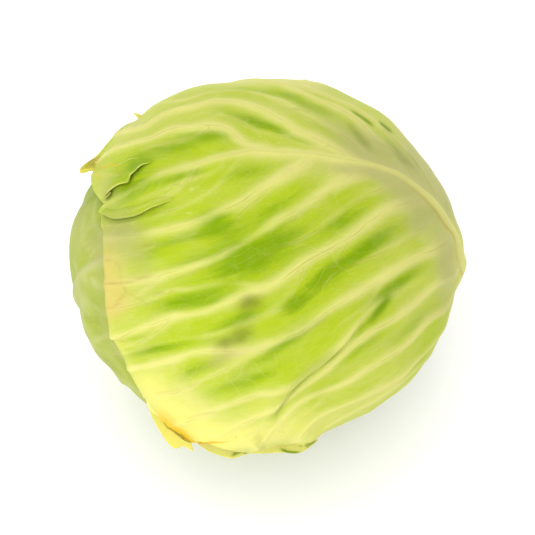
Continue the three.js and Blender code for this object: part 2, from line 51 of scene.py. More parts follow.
HEAD_PLACE = np.array([-0.05, -1.4, 76.0])  # the head's centre
REST_BLEND = 2.2  # softness of the edge of the flat spot that the head lies on
FACING_DOWN = 0.3  # downward share of a direction from which the floor can matter
DIMPLE_DEPTH = 9  # hollow round the stalk
DIMPLE_SPREAD = 16  # degrees
BLADE = 1.3  # thickness of a leaf between its veins
MARGIN_BLADE = 0.8  # thickness at a leaf's margin
MARGIN_FROM = 0.9  # share of the way to the margin at which a leaf starts to thin out
GAP = 0.95  # free space between two leaves
MM_PER_DEGREE = 1.42  # arc on the head's surface
LEAF_BASE = 12.9  # degrees from the stalk's axis at which a leaf starts
# The head's outline in the photograph and its centre, in pixels, anticlockwise from the right.
HEAD_CENTRE = np.array([268, 268])
HEAD_OUTLINE = [
    (467, 262), (465, 239), (457, 220), (450, 199), (431, 168), (408, 139), (382, 112), (347, 94), (305, 80),
    (262, 79), (225, 82), (190, 88), (155, 106), (122, 132), (98, 163), (79, 200), (68, 240),
    (69, 280), (78, 318), (91, 350), (110, 369), (126, 389), (160, 419), (200, 440), (250, 448), (300, 441),
    (345, 425), (385, 404), (417, 376), (434, 350), (446, 328), (451, 308), (457, 293), (465, 278),
]
# Directions: across the photograph, towards its eye, up in it, along the stalk, and square to the stalk.
RIGHT = np.array([1.0, 0.0, 0.0])
TO_EYE = np.array([0.0, -math.cos(EYE_HEIGHT), math.sin(EYE_HEIGHT)])
UP = np.cross(TO_EYE, RIGHT)
STALK_AXIS = RIGHT * math.cos(STALK_TURN) - TO_EYE * math.sin(STALK_TURN)
FACE_SIDE = -np.cross(UP, STALK_AXIS)


def smoothstep(x, low, high):
    """0 below low, 1 above high, and between them 3t^2 - 2t^3 of the share t."""
    t = np.clip((x - low) / (high - low), 0, 1)
    return t * t * (3 - 2 * t)


def outline_at(turn):
    """The head's outline, mm from its centre, at a turn about the line of sight: a cubic between outline
    points, whose slope at each point is that of the line through its two neighbours."""
    x = np.array([p[0] - HEAD_CENTRE[0] for p in HEAD_OUTLINE])
    y = np.array([HEAD_CENTRE[1] - p[1] for p in HEAD_OUTLINE])
    order = np.argsort(np.mod(np.arctan2(y, x), math.tau))
    at = np.mod(np.arctan2(y, x), math.tau)[order]
    far = np.hypot(x, y)[order] * PIXEL
    at = np.concatenate([at[-2:] - math.tau, at, at[:3] + math.tau])
    far = np.concatenate([far[-2:], far, far[:3]])
    turn = np.mod(turn, math.tau)
    k = np.searchsorted(at, turn, side="right") - 1
    span = at[k + 1] - at[k]
    t = (turn - at[k]) / span
    slope_0 = (far[k + 1] - far[k - 1]) / (at[k + 1] - at[k - 1]) * span
    slope_1 = (far[k + 2] - far[k]) / (at[k + 2] - at[k]) * span
    return (far[k] * (1 + 2 * t) * (1 - t) ** 2 + slope_0 * t * (1 - t) ** 2
            + far[k + 1] * t * t * (3 - 2 * t) + slope_1 * t * t * (t - 1))


def layer_radius(direction, inset):
    """Distance from the head's centre of a layer `inset` mm under its round body: an ellipse in each plane
    through the line of sight, hollowed by a bell round the stalk, and cut by a soft minimum with the floor's
    plane."""
    x, y, z = direction @ RIGHT, direction @ UP, direction @ TO_EYE
    body = 1 / np.hypot(np.hypot(x, y) / outline_at(np.arctan2(y, x)), z / HEAD_DEPTH)
    from_stalk = np.degrees(np.arccos(np.clip(direction @ STALK_AXIS, -1, 1)))
    free = body - DIMPLE_DEPTH * np.exp(-((from_stalk / DIMPLE_SPREAD) ** 2)) - inset
    floor = (HEAD_PLACE[2] - inset) / np.maximum(-direction[:, 2], FACING_DOWN)
    near = np.maximum(REST_BLEND - np.abs(free - floor), 0)
    rested = np.minimum(free, floor) - near ** 2 / (4 * REST_BLEND)
    return np.where(direction[:, 2] > -FACING_DOWN, free, rested)


def place_on_layer(direction, inset):
    """Points in mm where the directions meet the layer that lies `inset` under the body, never under the
    floor."""
    point = direction * layer_radius(direction, inset)[:, None] + HEAD_PLACE
    point[:, 2] = np.maximum(point[:, 2], 0)
    return point


PHOTO_MAP = (TO_EYE, RIGHT, UP)


def direction_of(leaf_map, xy):
    """Unit vectors of places on a flat map of the head. A place's distance from the map's centre is the angle
    between the two, in degrees, and its heading is kept."""
    centre, across, along = leaf_map
    far = np.maximum(np.hypot(xy[:, 0], xy[:, 1]), 1e-9)
    side = (np.sin(np.radians(far)) / far)[:, None]
    return (centre * np.cos(np.radians(far))[:, None] + across * side * xy[:, :1] + along * side * xy[:, 1:])


def map_of(leaf_map, direction):
    """Places on a flat map of unit vectors, the inverse of direction_of."""
    centre, across, along = leaf_map
    xy = np.stack([direction @ across, direction @ along], 1)
    far = np.degrees(np.arccos(np.clip(direction @ centre, -1, 1)))
    return xy * (far / np.maximum(np.hypot(xy[:, 0], xy[:, 1]), 1e-9))[:, None]


def hidden(turn, far):
    """A place on the photograph's map that it doesn't show, from its turn about the line of sight and its
    angle to that line, in degrees."""
    return (far * math.cos(math.radians(turn)), far * math.sin(math.radians(turn)))


def seen(points):
    """Places on the photograph's map of pixels, and the mm by which each lies outside the head's outline. The
    ray from the eye through a pixel meets the body where the sine of its angle is its share of the way to the
    outline, less the lean of the ray."""
    offset = (np.asarray(points, float) - HEAD_CENTRE) * [1, -1]
    turn = np.arctan2(offset[:, 1], offset[:, 0])
    rim = outline_at(turn)
    share = np.hypot(offset[:, 0], offset[:, 1]) * PIXEL / rim
    held = np.minimum(share, 1)
    lean = held * rim / EYE_DISTANCE
    far = np.degrees(np.arcsin(held / np.hypot(1, lean)) - np.arctan(lean))
    return np.stack([far * np.cos(turn), far * np.sin(turn)], 1), np.maximum(share - 1, 0) * rim


def pixels(points):
    """Pixels of the photograph as places on its map."""
    return [tuple(p) for p in seen(points)[0]]


def pixel_of(direction):
    """The pixel at which the eye sees the body in each direction."""
    point = direction * layer_radius(direction, 0)[:, None]
    scale = 1 / (PIXEL * (1 - point @ TO_EYE / EYE_DISTANCE))
    return HEAD_CENTRE + np.stack([point @ RIGHT * scale, -(point @ UP) * scale], 1)


def course(points, count=241):
    """A smooth curve through the points, as `count` places evenly spaced along it: a cubic between each two,
    with slopes from the three nearest points, weighed by the square roots of their distances."""
    p = np.asarray(points, float)
    p = np.concatenate([[2 * p[0] - p[1]], p, [2 * p[-1] - p[-2]]])
    gap = np.sqrt(np.linalg.norm(np.diff(p, axis=0), axis=1))[:, None]
    middle = (p[2:] - p[:-2]) / (gap[:-1] + gap[1:])
    slope = (p[1:-1] - p[:-2]) / gap[:-1] - middle + (p[2:] - p[1:-1]) / gap[1:]
    t = np.linspace(0, 1, 17)[None, :, None]
    a, b = p[1:-2, None], p[2:-1, None]
    da, db = (slope[:-1] * gap[1:-1])[:, None], (slope[1:] * gap[1:-1])[:, None]
    fine = (a * (1 + 2 * t) * (1 - t) ** 2 + da * t * (1 - t) ** 2
            + b * t * t * (3 - 2 * t) + db * t * t * (t - 1)).reshape(-1, 2)
    length = np.concatenate([[0], np.cumsum(np.linalg.norm(np.diff(fine, axis=0), axis=1))])
    even = np.linspace(0, length[-1], count)
    return np.stack([np.interp(even, length, fine[:, 0]), np.interp(even, length, fine[:, 1])], 1)


def nearest_on(path, xy, steps=60):
    """For each place, in degrees: its distance in mm to the path, the share of the path's length at which
    that is, and its side, +1 on one hand of the path and -1 on the other. For pixels, the distance is in
    pixels times MM_PER_DEGREE."""
    p = path[np.linspace(0, len(path) - 1, steps).round().astype(int)]
    d = np.diff(p, axis=0)
    offset = xy[:, None, :] - p[None, :-1, :]
    t = np.clip((offset * d).sum(2) / (d * d).sum(1), 0, 1)
    away = offset - t[:, :, None] * d
    square = (away * away).sum(2)
    k = square.argmin(1)
    row = np.arange(len(xy))
    turn = offset[row, k, 1] * d[k, 0] - offset[row, k, 0] * d[k, 1]
    far = np.sqrt(square[row, k]) * MM_PER_DEGREE
    return far, (k + t[row, k]) / (steps - 1), np.where(turn < 0, 1.0, -1.0)


OUTER_MIDRIB = [
    hidden(-2, 106), hidden(0, 98),
    *pixels([
        (465, 258), (459, 233), (443, 209), (431, 196), (417, 185), (403, 176), (389, 169), (367, 162),
        (346, 158), (317, 153), (289, 151), (253, 150), (231, 153), (210, 156), (193, 161), (167, 168),
        (147, 176), (128, 187), (112, 197), (101, 203),
    ]),
]
# Side veins from the leaf's tip to its base: (strength, course, share of it that runs before it shows).
OUTER_LOWER = [
    (0, pixels([(101, 203), (97, 206), (94, 211)]), 0),
    (0.3, pixels([(193, 161), (185, 172), (172, 186), (155, 197), (135, 206), (115, 213), (97, 215)]), 0),
    (0.3, pixels([(245, 151), (228, 168), (214, 183), (198, 194), (178, 204), (150, 214), (120, 222),
                  (97, 225)]), 0),
    (1, pixels([(317, 153), (307, 159), (296, 167), (280, 177), (260, 189), (240, 200), (217, 209),
                (195, 219), (172, 226), (146, 232), (120, 236), (99, 238)]), 0),
    (1, pixels([(378, 165), (364, 169), (347, 177), (330, 187), (313, 200), (295, 212), (275, 223),
                (255, 236), (235, 248), (212, 259), (185, 268), (160, 275), (136, 282), (101, 285)]), 0),
    (0.3, pixels([(403, 176), (384, 187), (365, 196), (345, 209), (325, 224), (303, 239), (280, 247),
                  (262, 256), (240, 270), (215, 282), (190, 289), (165, 294), (140, 303), (104, 312)]), 0),
    (1, pixels([(431, 196), (403, 204), (389, 209), (379, 216), (367, 226), (354, 236), (340, 244),
                (322, 254), (306, 263), (293, 272), (279, 281), (264, 288), (246, 294), (228, 302),
                (203, 312), (174, 318), (146, 328), (112, 340)]), 0),
    (0.3, pixels([(446, 214), (419, 231), (394, 248), (365, 261), (339, 272), (314, 293), (290, 304),
                  (265, 316), (238, 327), (210, 336), (184, 339), (155, 346), (121, 355)]), 0),
    (1, pixels([(457, 230), (444, 246), (422, 257), (408, 265), (388, 277), (359, 292), (329, 309),
                (301, 326), (272, 340), (250, 348), (224, 350), (197, 352), (169, 361), (140, 367),
                (128, 370)]), 0),
    (0.5, pixels([(462, 243), (452, 260), (430, 266), (400, 280), (370, 296), (340, 313), (310, 330),
                  (282, 344), (250, 356), (229, 368), (206, 379), (183, 390), (160, 396), (143, 398)]), 0.6),
    (0.8, pixels([(464, 251), (455, 268), (432, 276), (402, 290), (378, 304), (358, 321), (338, 341),
                  (311, 363), (280, 385), (257, 392), (224, 406), (196, 418), (166, 430)]), 0.25),
    (0.9, pixels([(465, 258), (459, 272), (444, 281), (422, 297), (394, 319), (365, 334), (345, 349),
                  (322, 368), (298, 385), (277, 402), (250, 418), (222, 433), (194, 446)]), 0),
    (0.9, [hidden(1, 92), *pixels([(462, 283), (451, 302), (429, 321), (409, 342), (388, 356), (365, 369),
                                   (338, 382), (312, 391), (294, 403), (279, 422), (262, 442),
                                   (246, 457)])], 0),
    (0.8, [hidden(0, 96), hidden(-8, 92), *pixels([(449, 318), (436, 342), (418, 361), (398, 380), (377, 391),
                                                   (350, 401), (322, 414), (306, 426), (295, 440),
                                                   (286, 452)])], 0),
    (0.6, [hidden(-1, 100), hidden(-12, 97), hidden(-25, 92),
           *pixels([(418, 370), (394, 389), (365, 406), (340, 419), (322, 430), (310, 440)]),
           hidden(-77, 90)], 0),
    (0.5, [hidden(-2, 103), hidden(-14, 102), hidden(-28, 99), hidden(-42, 97), hidden(-54, 97),
           hidden(-63, 96), hidden(-71, 96)], 0),
    (0, [hidden(-2, 106), hidden(-10, 107), hidden(-20, 107.5), hidden(-31, 107), hidden(-42, 106),
         hidden(-53, 104), hidden(-63, 101)], 0),
]
OUTER_UPPER = [
    (0, pixels([(101, 203), (96, 198), (91, 189)]), 0),
    (0.2, pixels([(175, 166), (150, 168), (125, 172), (106, 174), (88, 173)]), 0),
    (0.9, pixels([(275, 150), (262, 147), (250, 145), (240, 138), (228, 128), (212, 123), (190, 125),
                  (168, 128), (150, 137), (130, 142), (114, 149), (97, 161)]), 0),
    (1, [*pixels([(360, 161), (348, 153), (334, 145), (318, 137), (300, 130), (280, 119), (260, 109),
                  (240, 103), (217, 101), (195, 105), (174, 109), (158, 116), (143, 126)]),
         hidden(141, 92), hidden(146, 106)], 0),
    (0.4, [*pixels([(392, 171), (378, 156), (362, 144), (345, 133), (325, 122), (305, 112), (285, 101),
                    (262, 94), (238, 91), (212, 92), (186, 98)]), hidden(127, 90), hidden(134, 108)], 0),
    (0.9, [*pixels([(425, 191), (417, 175), (406, 162), (394, 151), (380, 141), (367, 128), (355, 117),
                    (338, 108), (317, 99), (298, 90), (276, 83)]),
           hidden(99, 93), hidden(108, 106), hidden(118, 120)], 0),
    (0.5, [*pixels([(446, 214), (440, 195), (428, 175), (411, 155), (394, 137), (376, 121), (354, 107),
                    (332, 97), (312, 89)]), hidden(80, 93), hidden(90, 106), hidden(101, 122)], 0),
    (0.8, [hidden(1, 93), hidden(14, 94), hidden(29, 94), hidden(44, 95), hidden(57, 98), hidden(69, 105),
           hidden(80, 114), hidden(90, 124)], 0),
    (0, [hidden(-2, 106), hidden(9, 108), hidden(22, 110), hidden(36, 113), hidden(50, 117), hidden(62, 122),
         hidden(72, 128)], 0),
]
# Branches of the side veins, as (strength, pixels of the course).
OUTER_BRANCHES = [
    (0.35, [(262, 289), (245, 284), (228, 283), (212, 286), (190, 291), (165, 292), (150, 299)]),
    (0.35, [(308, 266), (300, 280), (293, 290), (280, 302), (265, 312), (240, 322), (225, 330), (205, 336)]),
    (0.3, [(352, 240), (340, 262), (322, 284)]),
    (0.25, [(280, 178), (262, 196), (240, 210), (222, 232), (200, 240), (176, 244)]),
    (0.2, [(300, 212), (290, 228), (262, 246), (240, 252), (215, 262)]),
    (0.4, [(237, 437), (255, 428), (275, 418)]),
    (0.35, [(210, 124), (196, 132), (176, 138), (156, 142), (140, 148)]),
    (0.3, [(231, 153), (215, 166), (196, 173), (170, 181), (150, 190), (132, 198)]),
    (0.3, [(300, 131), (286, 134), (268, 132), (250, 126), (236, 118), (220, 113)]),
    (0.3, [(330, 144), (318, 146), (300, 142), (284, 136)]),
    (0.3, [(388, 277), (372, 300), (350, 316), (336, 326)]),
    (0.3, [(365, 369), (352, 378), (330, 388), (318, 400), (306, 412)]),
    (0.3, [(160, 276), (142, 290), (128, 300), (112, 306)]),
    (0.3, [(174, 318), (160, 330), (142, 342), (124, 348)]),
    (0.3, [(217, 209), (205, 222), (188, 232), (165, 240), (140, 250), (118, 256), (100, 258)]),
]
# Where the blade is deeper green, paler, yellowed, rusty, tanned, bruised and dulled, and where it has
# painted
# rim light and painted shade: soft oval spots, as (x, y, half length, half width, turn in degrees, strength),
# in pixels.
DEEP_SPOTS = [
    (251, 257, 44, 17, 26, 1.8), (218, 228, 18, 13, 20, 1.1), (270, 210, 34, 8, 32, 0.7),
    (206, 216, 20, 7, 20, 0.5), (296, 305, 16, 8, 30, 1.3), (321, 282, 24, 9, 40, 1.2),
    (240, 320, 30, 7, 22, 1.0), (186, 301, 34, 8, 12, 1.0), (370, 246, 38, 10, 32, 0.9),
    (345, 220, 34, 8, 34, 0.7), (382, 308, 16, 5, 55, 1.2), (362, 330, 16, 4, 45, 0.6),
    (174, 146, 28, 8, 8, 0.7), (206, 135, 26, 6, 2, 0.9), (134, 164, 20, 10, 30, 0.8),
    (128, 190, 28, 9, 32, 1.0), (176, 176, 32, 6, 16, 0.8), (246, 172, 32, 6, 14, 0.5),
    (252, 120, 30, 6, -16, 0.8), (285, 132, 34, 5, -20, 0.6), (312, 106, 34, 5, -24, 0.7),
    (262, 91, 44, 4, -6, 0.6), (172, 242, 34, 6, 16, 0.7), (150, 256, 26, 6, 14, 0.5),
    (160, 349, 32, 5, 12, 1.0), (136, 338, 14, 4, 8, 0.5), (192, 371, 18, 7, 24, 0.7),
    (276, 350, 34, 6, 32, 0.7), (304, 330, 32, 6, 34, 0.8), (228, 389, 40, 6, 22, 0.5),
    (262, 379, 26, 5, 30, 0.6), (360, 350, 34, 5, 36, 0.6), (410, 330, 22, 5, 42, 0.5),
    (328, 388, 24, 4, 28, 0.5), (404, 280, 32, 7, 38, 0.8), (388, 292, 24, 6, 36, 0.5),
    (300, 212, 26, 6, 36, 0.6), (190, 262, 30, 5, 18, 0.5), (212, 303, 20, 5, 16, 0.5),
    (330, 130, 30, 5, -30, 0.4), (352, 262, 26, 5, 34, 0.6), (150, 214, 26, 5, 12, 0.5),
    (276, 410, 10, 6, 70, 0.6), (420, 252, 24, 6, 34, 0.4),
]
# Pale spots: the leaf's own paler places, and along the head's top and upper right outline painted rim light.
PALE_AND_RIM_LIGHT_SPOTS = [
    (450, 268, 14, 34, 8, 0.4), (384, 168, 60, 14, -34, 0.35), (336, 172, 40, 10, -4, 0.3),
    (115, 262, 18, 60, 0, 0.2), (262, 80, 110, 7, 0, 0.45), (160, 396, 44, 24, -30, 0.2),
    (236, 356, 26, 6, 14, 0.4), (420, 385, 30, 8, 40, 0.1), (368, 402, 50, 8, 30, 0.3),
    (340, 100, 50, 6, -30, 0.2), (126, 126, 44, 9, 44, 0.2), (272, 440, 50, 12, 6, 0.35),
    (192, 189, 1.5, 1.5, 0, 0.9), (189, 213, 2, 1, 0, 0.9), (258, 292, 2, 1.5, 0, 0.9),
    (222, 300, 1.5, 1, 0, 0.6), (436, 166, 60, 13, -56, 0.8), (124, 230, 32, 24, 0, -0.5),
    (130, 178, 34, 26, 20, -0.35), (190, 156, 50, 22, 8, -0.2), (368, 316, 26, 14, 48, -0.3),
    (440, 326, 40, 16, 66, -0.4), (160, 350, 34, 14, 12, -0.15), (248, 252, 46, 18, 26, -0.3),
    (216, 226, 22, 14, 20, -0.35), (318, 284, 30, 12, 40, -0.2), (204, 410, 34, 16, -20, 0.35),
    (250, 428, 50, 14, 10, 0.2),
]
YELLOW_SPOTS = [
    (184, 418, 52, 20, -34, 0.95), (224, 438, 50, 12, 8, 0.7), (142, 376, 24, 20, 0, 0.15),
    (172, 372, 36, 14, 20, 0.3), (108, 312, 8, 40, 8, 0.5), (122, 346, 12, 16, 0, 0.4),
    (290, 434, 50, 14, 14, 0.4), (262, 404, 26, 9, 20, 0.4), (97, 245, 4, 50, 0, 0.6),
    (84, 171, 8, 6, 30, 1.4), (320, 405, 50, 30, 30, 0.2), (150, 106, 14, 4, 40, 0.5),
    (150, 394, 12, 30, 34, 0.35), (250, 424, 50, 16, 10, 0.3),
]
RUST_SPOTS = [
    (165, 420, 15, 8, -46, 0.75), (181, 436, 14, 7, -38, 1.4), (98, 262, 2, 34, 0, 0.3),
    (210, 440, 22, 4, 8, 0.5), (107, 312, 3, 26, -14, 0.2), (83, 173, 6, 3, 10, 0.5),
    (97, 175, 2, 8, -20, 0.6),
]
TAN_SPOTS = [
    (102, 264, 15, 40, 0, 0.85), (110, 304, 14, 28, -12, 0.85), (126, 300, 18, 16, 0, 0.4),
    (120, 262, 16, 24, 0, 0.35), (160, 398, 22, 14, -30, 0.3),
]
# Bruise spots: real bruises, and in the creases and the gap by the outline at the upper right painted shade.
BRUISE_AND_SHADE_SPOTS = [
    (252, 303, 15, 11, 20, 1.0), (240, 337, 20, 11, 24, 0.8), (206, 366, 26, 9, 22, 0.45),
    (362, 118, 12, 4, -36, 0.5), (387, 127, 8, 3, -40, 0.6), (400, 152, 26, 7, -50, 0.6),
    (366, 140, 26, 6, -46, 0.4), (222, 344, 10, 5, 10, 0.4), (376, 106, 30, 2, -40, 0.3),
]
# Dull spots: the blade's own greyer places, and along the upper right outline and the midrib's end painted
# shade.
DULL_AND_LIMB_SHADE_SPOTS = [
    (448, 262, 14, 50, 0, 1.0), (372, 150, 56, 16, -30, 1.2), (420, 196, 36, 30, -45, 0.8),
    (350, 168, 40, 9, -6, 0.7), (104, 185, 14, 26, 20, 0.3), (395, 170, 30, 20, -40, 0.6),
    (122, 234, 28, 24, 0, 1.0), (330, 88, 60, 8, -25, 0.35), (424, 222, 34, 10, 40, 0.5),
    (236, 354, 30, 5, 20, 0.5), (432, 162, 70, 14, -54, 0.9), (136, 276, 26, 30, 0, 0.4),
    (120, 128, 40, 8, 44, 0.35),
]


def spots_at(pixel, spots):
    """Sum of soft oval spots: each is its strength times a bell curve of the distance along and across it."""
    total = np.zeros(len(pixel))
    for x, y, half_length, half_width, turn, strength in spots:
        c, s = math.cos(math.radians(turn)), math.sin(math.radians(turn))
        dx, dy = pixel[:, 0] - x, y - pixel[:, 1]
        total += strength * np.exp(-(((dx * c + dy * s) / half_length) ** 2)
                                   - ((dy * c - dx * s) / half_width) ** 2)
    return total


def ripple(direction, wavelength, seed):
    """Gentle unevenness of about -1 to 1: a quarter of the sum of nine sine waves of about that wavelength,
    mm, whose headings, lengths and starts are drawn at random."""
    waves = 9
    draw = np.random.default_rng(seed)
    heading = draw.normal(size=(waves, 3))
    heading /= np.linalg.norm(heading, axis=1)[:, None]
    pace = math.tau * HEAD_DEPTH / (wavelength * draw.uniform(0.7, 1.4, waves))
    wave = np.sin(direction @ heading.T * pace + draw.uniform(0, math.tau, waves))
    return wave.sum(1) / 4


VEIN_WIDTH = 3.0  # half width of a strong side vein, a good third of the way to the margin
THREAD_WIDTH = 2.2  # from a vein's middle over which its dark threads can lie
THREAD_FAR = 4.0  # beyond which the distance to a vein no longer matters


def vein_field(xy, veins, branches):
    """Height and paleness of the side veins, 0 to 1, the signed mm to the nearest one, and how near that is.
    A vein of width w is a ridge of 0.55 w on a swell of 1.5 w, washed pale over 1.05 w. All are bell curves
    of the distance to its course, and they thin and fade towards the margin."""
    height = np.zeros(len(xy))
    pale = np.zeros(len(xy))
    thread = np.full(len(xy), THREAD_FAR)
    near = np.zeros(len(xy))
    courses = [(s, course(c), shows) for s, c, shows in veins if s > 0]
    courses += [(s, course(c), 0) for s, c in branches]
    for strength, path, shows in courses:
        far, share, side = nearest_on(path, xy)
        width = VEIN_WIDTH * (0.35 + 0.65 * strength) * (1.25 - 0.6 * share)
        present = smoothstep(share, shows - 0.1, shows + 0.12) if shows else smoothstep(share, -0.05, 0.05)
        ridge = np.exp(-((far / (0.55 * width)) ** 2))
        swell = np.exp(-((far / (1.5 * width)) ** 2))
        washed = np.exp(-((far / (1.05 * width)) ** 2))
        height = np.maximum(height, strength * present * (1 - 0.45 * share) * (0.4 * ridge + 0.6 * swell))
        shade = strength ** 0.8 * present * (1 - 0.25 * share) * (0.25 * ridge + 0.7 * washed)
        pale = pale + shade - pale * shade
        here = present * np.exp(-((far / THREAD_WIDTH) ** 2))
        thread = np.where(here > near, far * side, thread)
        near = np.maximum(near, here)
    return height, pale, np.clip(thread, -THREAD_FAR, THREAD_FAR), near


# Ridges where the blade is creased: (course in pixels, height, reach, fall). The blade on one side of each
# course stands up by its height and comes down slowly over its reach, and it drops within its fall on the
# other.
OUTER_FOLDS = [
    ([(384, 284), (362, 312), (345, 336), (320, 357), (300, 372), (286, 388), (278, 402), (274, 419)],
     2.1, 9, 2.2),
    ([(156, 339), (137, 341), (121, 338), (107, 340)], 1.5, 6, 1.0),
    ([(246, 428), (258, 440), (262, 452)], 1.4, 5, 2.0),
    ([(330, 425), (312, 434), (300, 446)], 1.4, 5, 2.0),
]
# Places where the margin lifts off: (x, y, radius in pixels, height).
OUTER_LIFTS = [(238, 452, 26, 3.0), (308, 440, 14, 2.6), (176, 436, 12, 1.0)]
# Lines on the blade, as (strength, half width in pixels, course in pixels): painted shade along creases,
# brown cracks and rust.
CREASE_SHADE_LINES = [
    (0.6, 1.6, [(352, 342), (330, 361), (312, 374), (297, 388), (283, 404), (276, 418), (276, 426)]),
    (0.4, 4.0, [(340, 345), (318, 362), (298, 378), (284, 392)]),
    (0.6, 2.6, [(392, 292), (383, 306), (370, 328)]),
    (1.1, 1.6, [(230, 457), (240, 452), (251, 447)]),
    (0.4, 1.2, [(258, 431), (259, 436), (263, 441)]),
    (1.2, 1.5, [(279, 448), (288, 452), (303, 453)]),
    (0.9, 1.5, [(300, 448), (303, 443), (308, 436)]),
    (0.9, 2.4, [(305, 448), (311, 444), (318, 441)]),
    (1.0, 1.5, [(350, 109), (363, 117), (377, 127)]),
    (1.1, 1.6, [(379, 120), (387, 127), (395, 134)]),
    (0.4, 3.0, [(345, 120), (358, 132), (372, 147)]),
    (0.4, 3.0, [(384, 138), (398, 152), (412, 168)]),
    (0.4, 1.2, [(408, 150), (416, 160), (423, 170)]),
    (0.3, 1.2, [(290, 108), (302, 110), (312, 114)]),
    (0.5, 1.6, [(236, 343), (242, 339), (250, 332)]),
    (0.4, 1.2, [(152, 298), (158, 294), (166, 292)]),
]
CRACKS = [
    (0.6, 1.4, [(96, 255), (106, 260), (113, 262), (120, 268), (121, 276), (120, 286)]),
    (0.9, 1.3, [(97, 284), (110, 284), (120, 284), (132, 282), (144, 278), (160, 274)]),
    (0.7, 1.4, [(120, 282), (125, 292), (119, 301), (112, 310)]),
    (0.6, 1.4, [(102, 308), (110, 309), (118, 306)]),
    (0.6, 1.3, [(130, 342), (120, 341), (106, 341)]),
    (0.6, 1.4, [(115, 163), (117, 172), (121, 179)]),
    (0.6, 1.2, [(150, 396), (170, 393), (190, 387), (210, 378)]),
    (0.5, 1.2, [(184, 424), (192, 418), (206, 414), (222, 412)]),
    (0.6, 1.2, [(130, 250), (146, 246), (160, 240)]),
    (0.5, 1.2, [(125, 293), (140, 300), (152, 310)]),
    (0.5, 1.2, [(168, 282), (196, 272), (222, 262)]),
]
RUST_LINES = [
    (0.8, 1.2, [(97, 171), (103, 166), (111, 164), (118, 162)]),
    (1.7, 1.8, [(158, 415), (168, 426), (178, 436), (189, 443), (203, 442), (217, 440), (238, 436)]),
]
# Free edges of the two large torn lobes, in pixels. The blade just past them gets a painted shadow, where
# it lies in their shade.
LOW_LOBE_EDGE = [
    (178, 194), (168, 197), (158, 202), (146, 207), (134, 214), (123, 217), (110, 218), (100, 213),
]
MIDDLE_LOBE_EDGE = [
    (156, 154), (147, 161), (141, 164), (134, 170), (129, 174), (126, 181), (117, 184), (110, 189),
    (105, 195),
]
LOBE_SHADE = 5  # pixels past those edges over which it fades


def strokes_at(pixel, strokes):
    """Strength of the strongest stroke at each pixel: a bell curve of the distance to a stroke's course,
    tapered at both its ends."""
    total = np.zeros(len(pixel))
    for strength, width, points in strokes:
        far, share, _ = nearest_on(course(points), pixel, 24)
        taper = smoothstep(share, -0.02, 0.25) * (1 - smoothstep(share, 0.7, 1.02))
        total = np.maximum(total, strength * taper * np.exp(-((far / MM_PER_DEGREE / width) ** 2)))
    return total


def fold_height(xy, folds):
    """Height in mm of the highest fold at each place: it grows over the first part of its course and sinks a
    little at the end, with a bell curve on one side and a steep fall on the other."""
    total = np.zeros(len(xy))
    for points, height, reach, fall in folds:
        far, share, side = nearest_on(course(pixels(points)), xy, 40)
        grown = smoothstep(share, 0, 0.45) * (1 - 0.7 * smoothstep(share, 0.8, 1))
        down = np.where(side > 0, np.exp(-((far / reach) ** 2)), 1 - smoothstep(far, 0, fall))
        total = np.maximum(total, height * grown * down)
    return total


WASH = 0.34  # how much paler the blade is towards the head's outline
WASH_RANGE = (60, 195)  # pixels from the head's centre over which it grows paler
VEIN_HEIGHT = 1.3  # of a strong side vein over the blade
RIB_SPREAD = 15  # from a midrib over which the leaf keeps room for it
RIB_FOOT = (25, 150)  # degrees from the stalk's axis over which a midrib thins
OUTER_ROOM = 0.5  # that the leaf leaves for its side veins under the body
OUTER_RIB_ROOM = 3.0  # that it leaves for its midrib besides
OUTER_RIB_WIDTH = (8.5, 3.0)  # half width of the midrib at its foot and its tip
OUTER_RIB_HEIGHT = (4.2, 1.0)  # height of the midrib at its foot and its tip
OUTER_RIB_CORE = (6.4, 1.2)  # half width of its rounded middle at its foot and half way
outer_rib = course(OUTER_MIDRIB)


def from_to(pair, share):
    """The value at a share of the way from the first of a pair to the second."""
    return pair[0] + (pair[1] - pair[0]) * share


def shown_in_photo(direction):
    """1 where the photograph shows the head, falling to 0 just round its edge."""
    return smoothstep(direction @ TO_EYE, -0.25, 0.05)


def rib_room(xy, direction, rib, room, extra):
    """Room in mm that a leaf keeps for its veins: more along the thick foot of its midrib. Gives too the mm
    to the midrib, the share of its length there and the side."""
    far, share, side = nearest_on(rib, xy, 80)
    from_stalk = np.degrees(np.arccos(np.clip(direction @ STALK_AXIS, -1, 1)))
    foot = 1 - smoothstep(from_stalk, *RIB_FOOT)
    return room + extra * (0.3 + 0.7 * foot) * np.exp(-((far / RIB_SPREAD) ** 2)), far, share, side


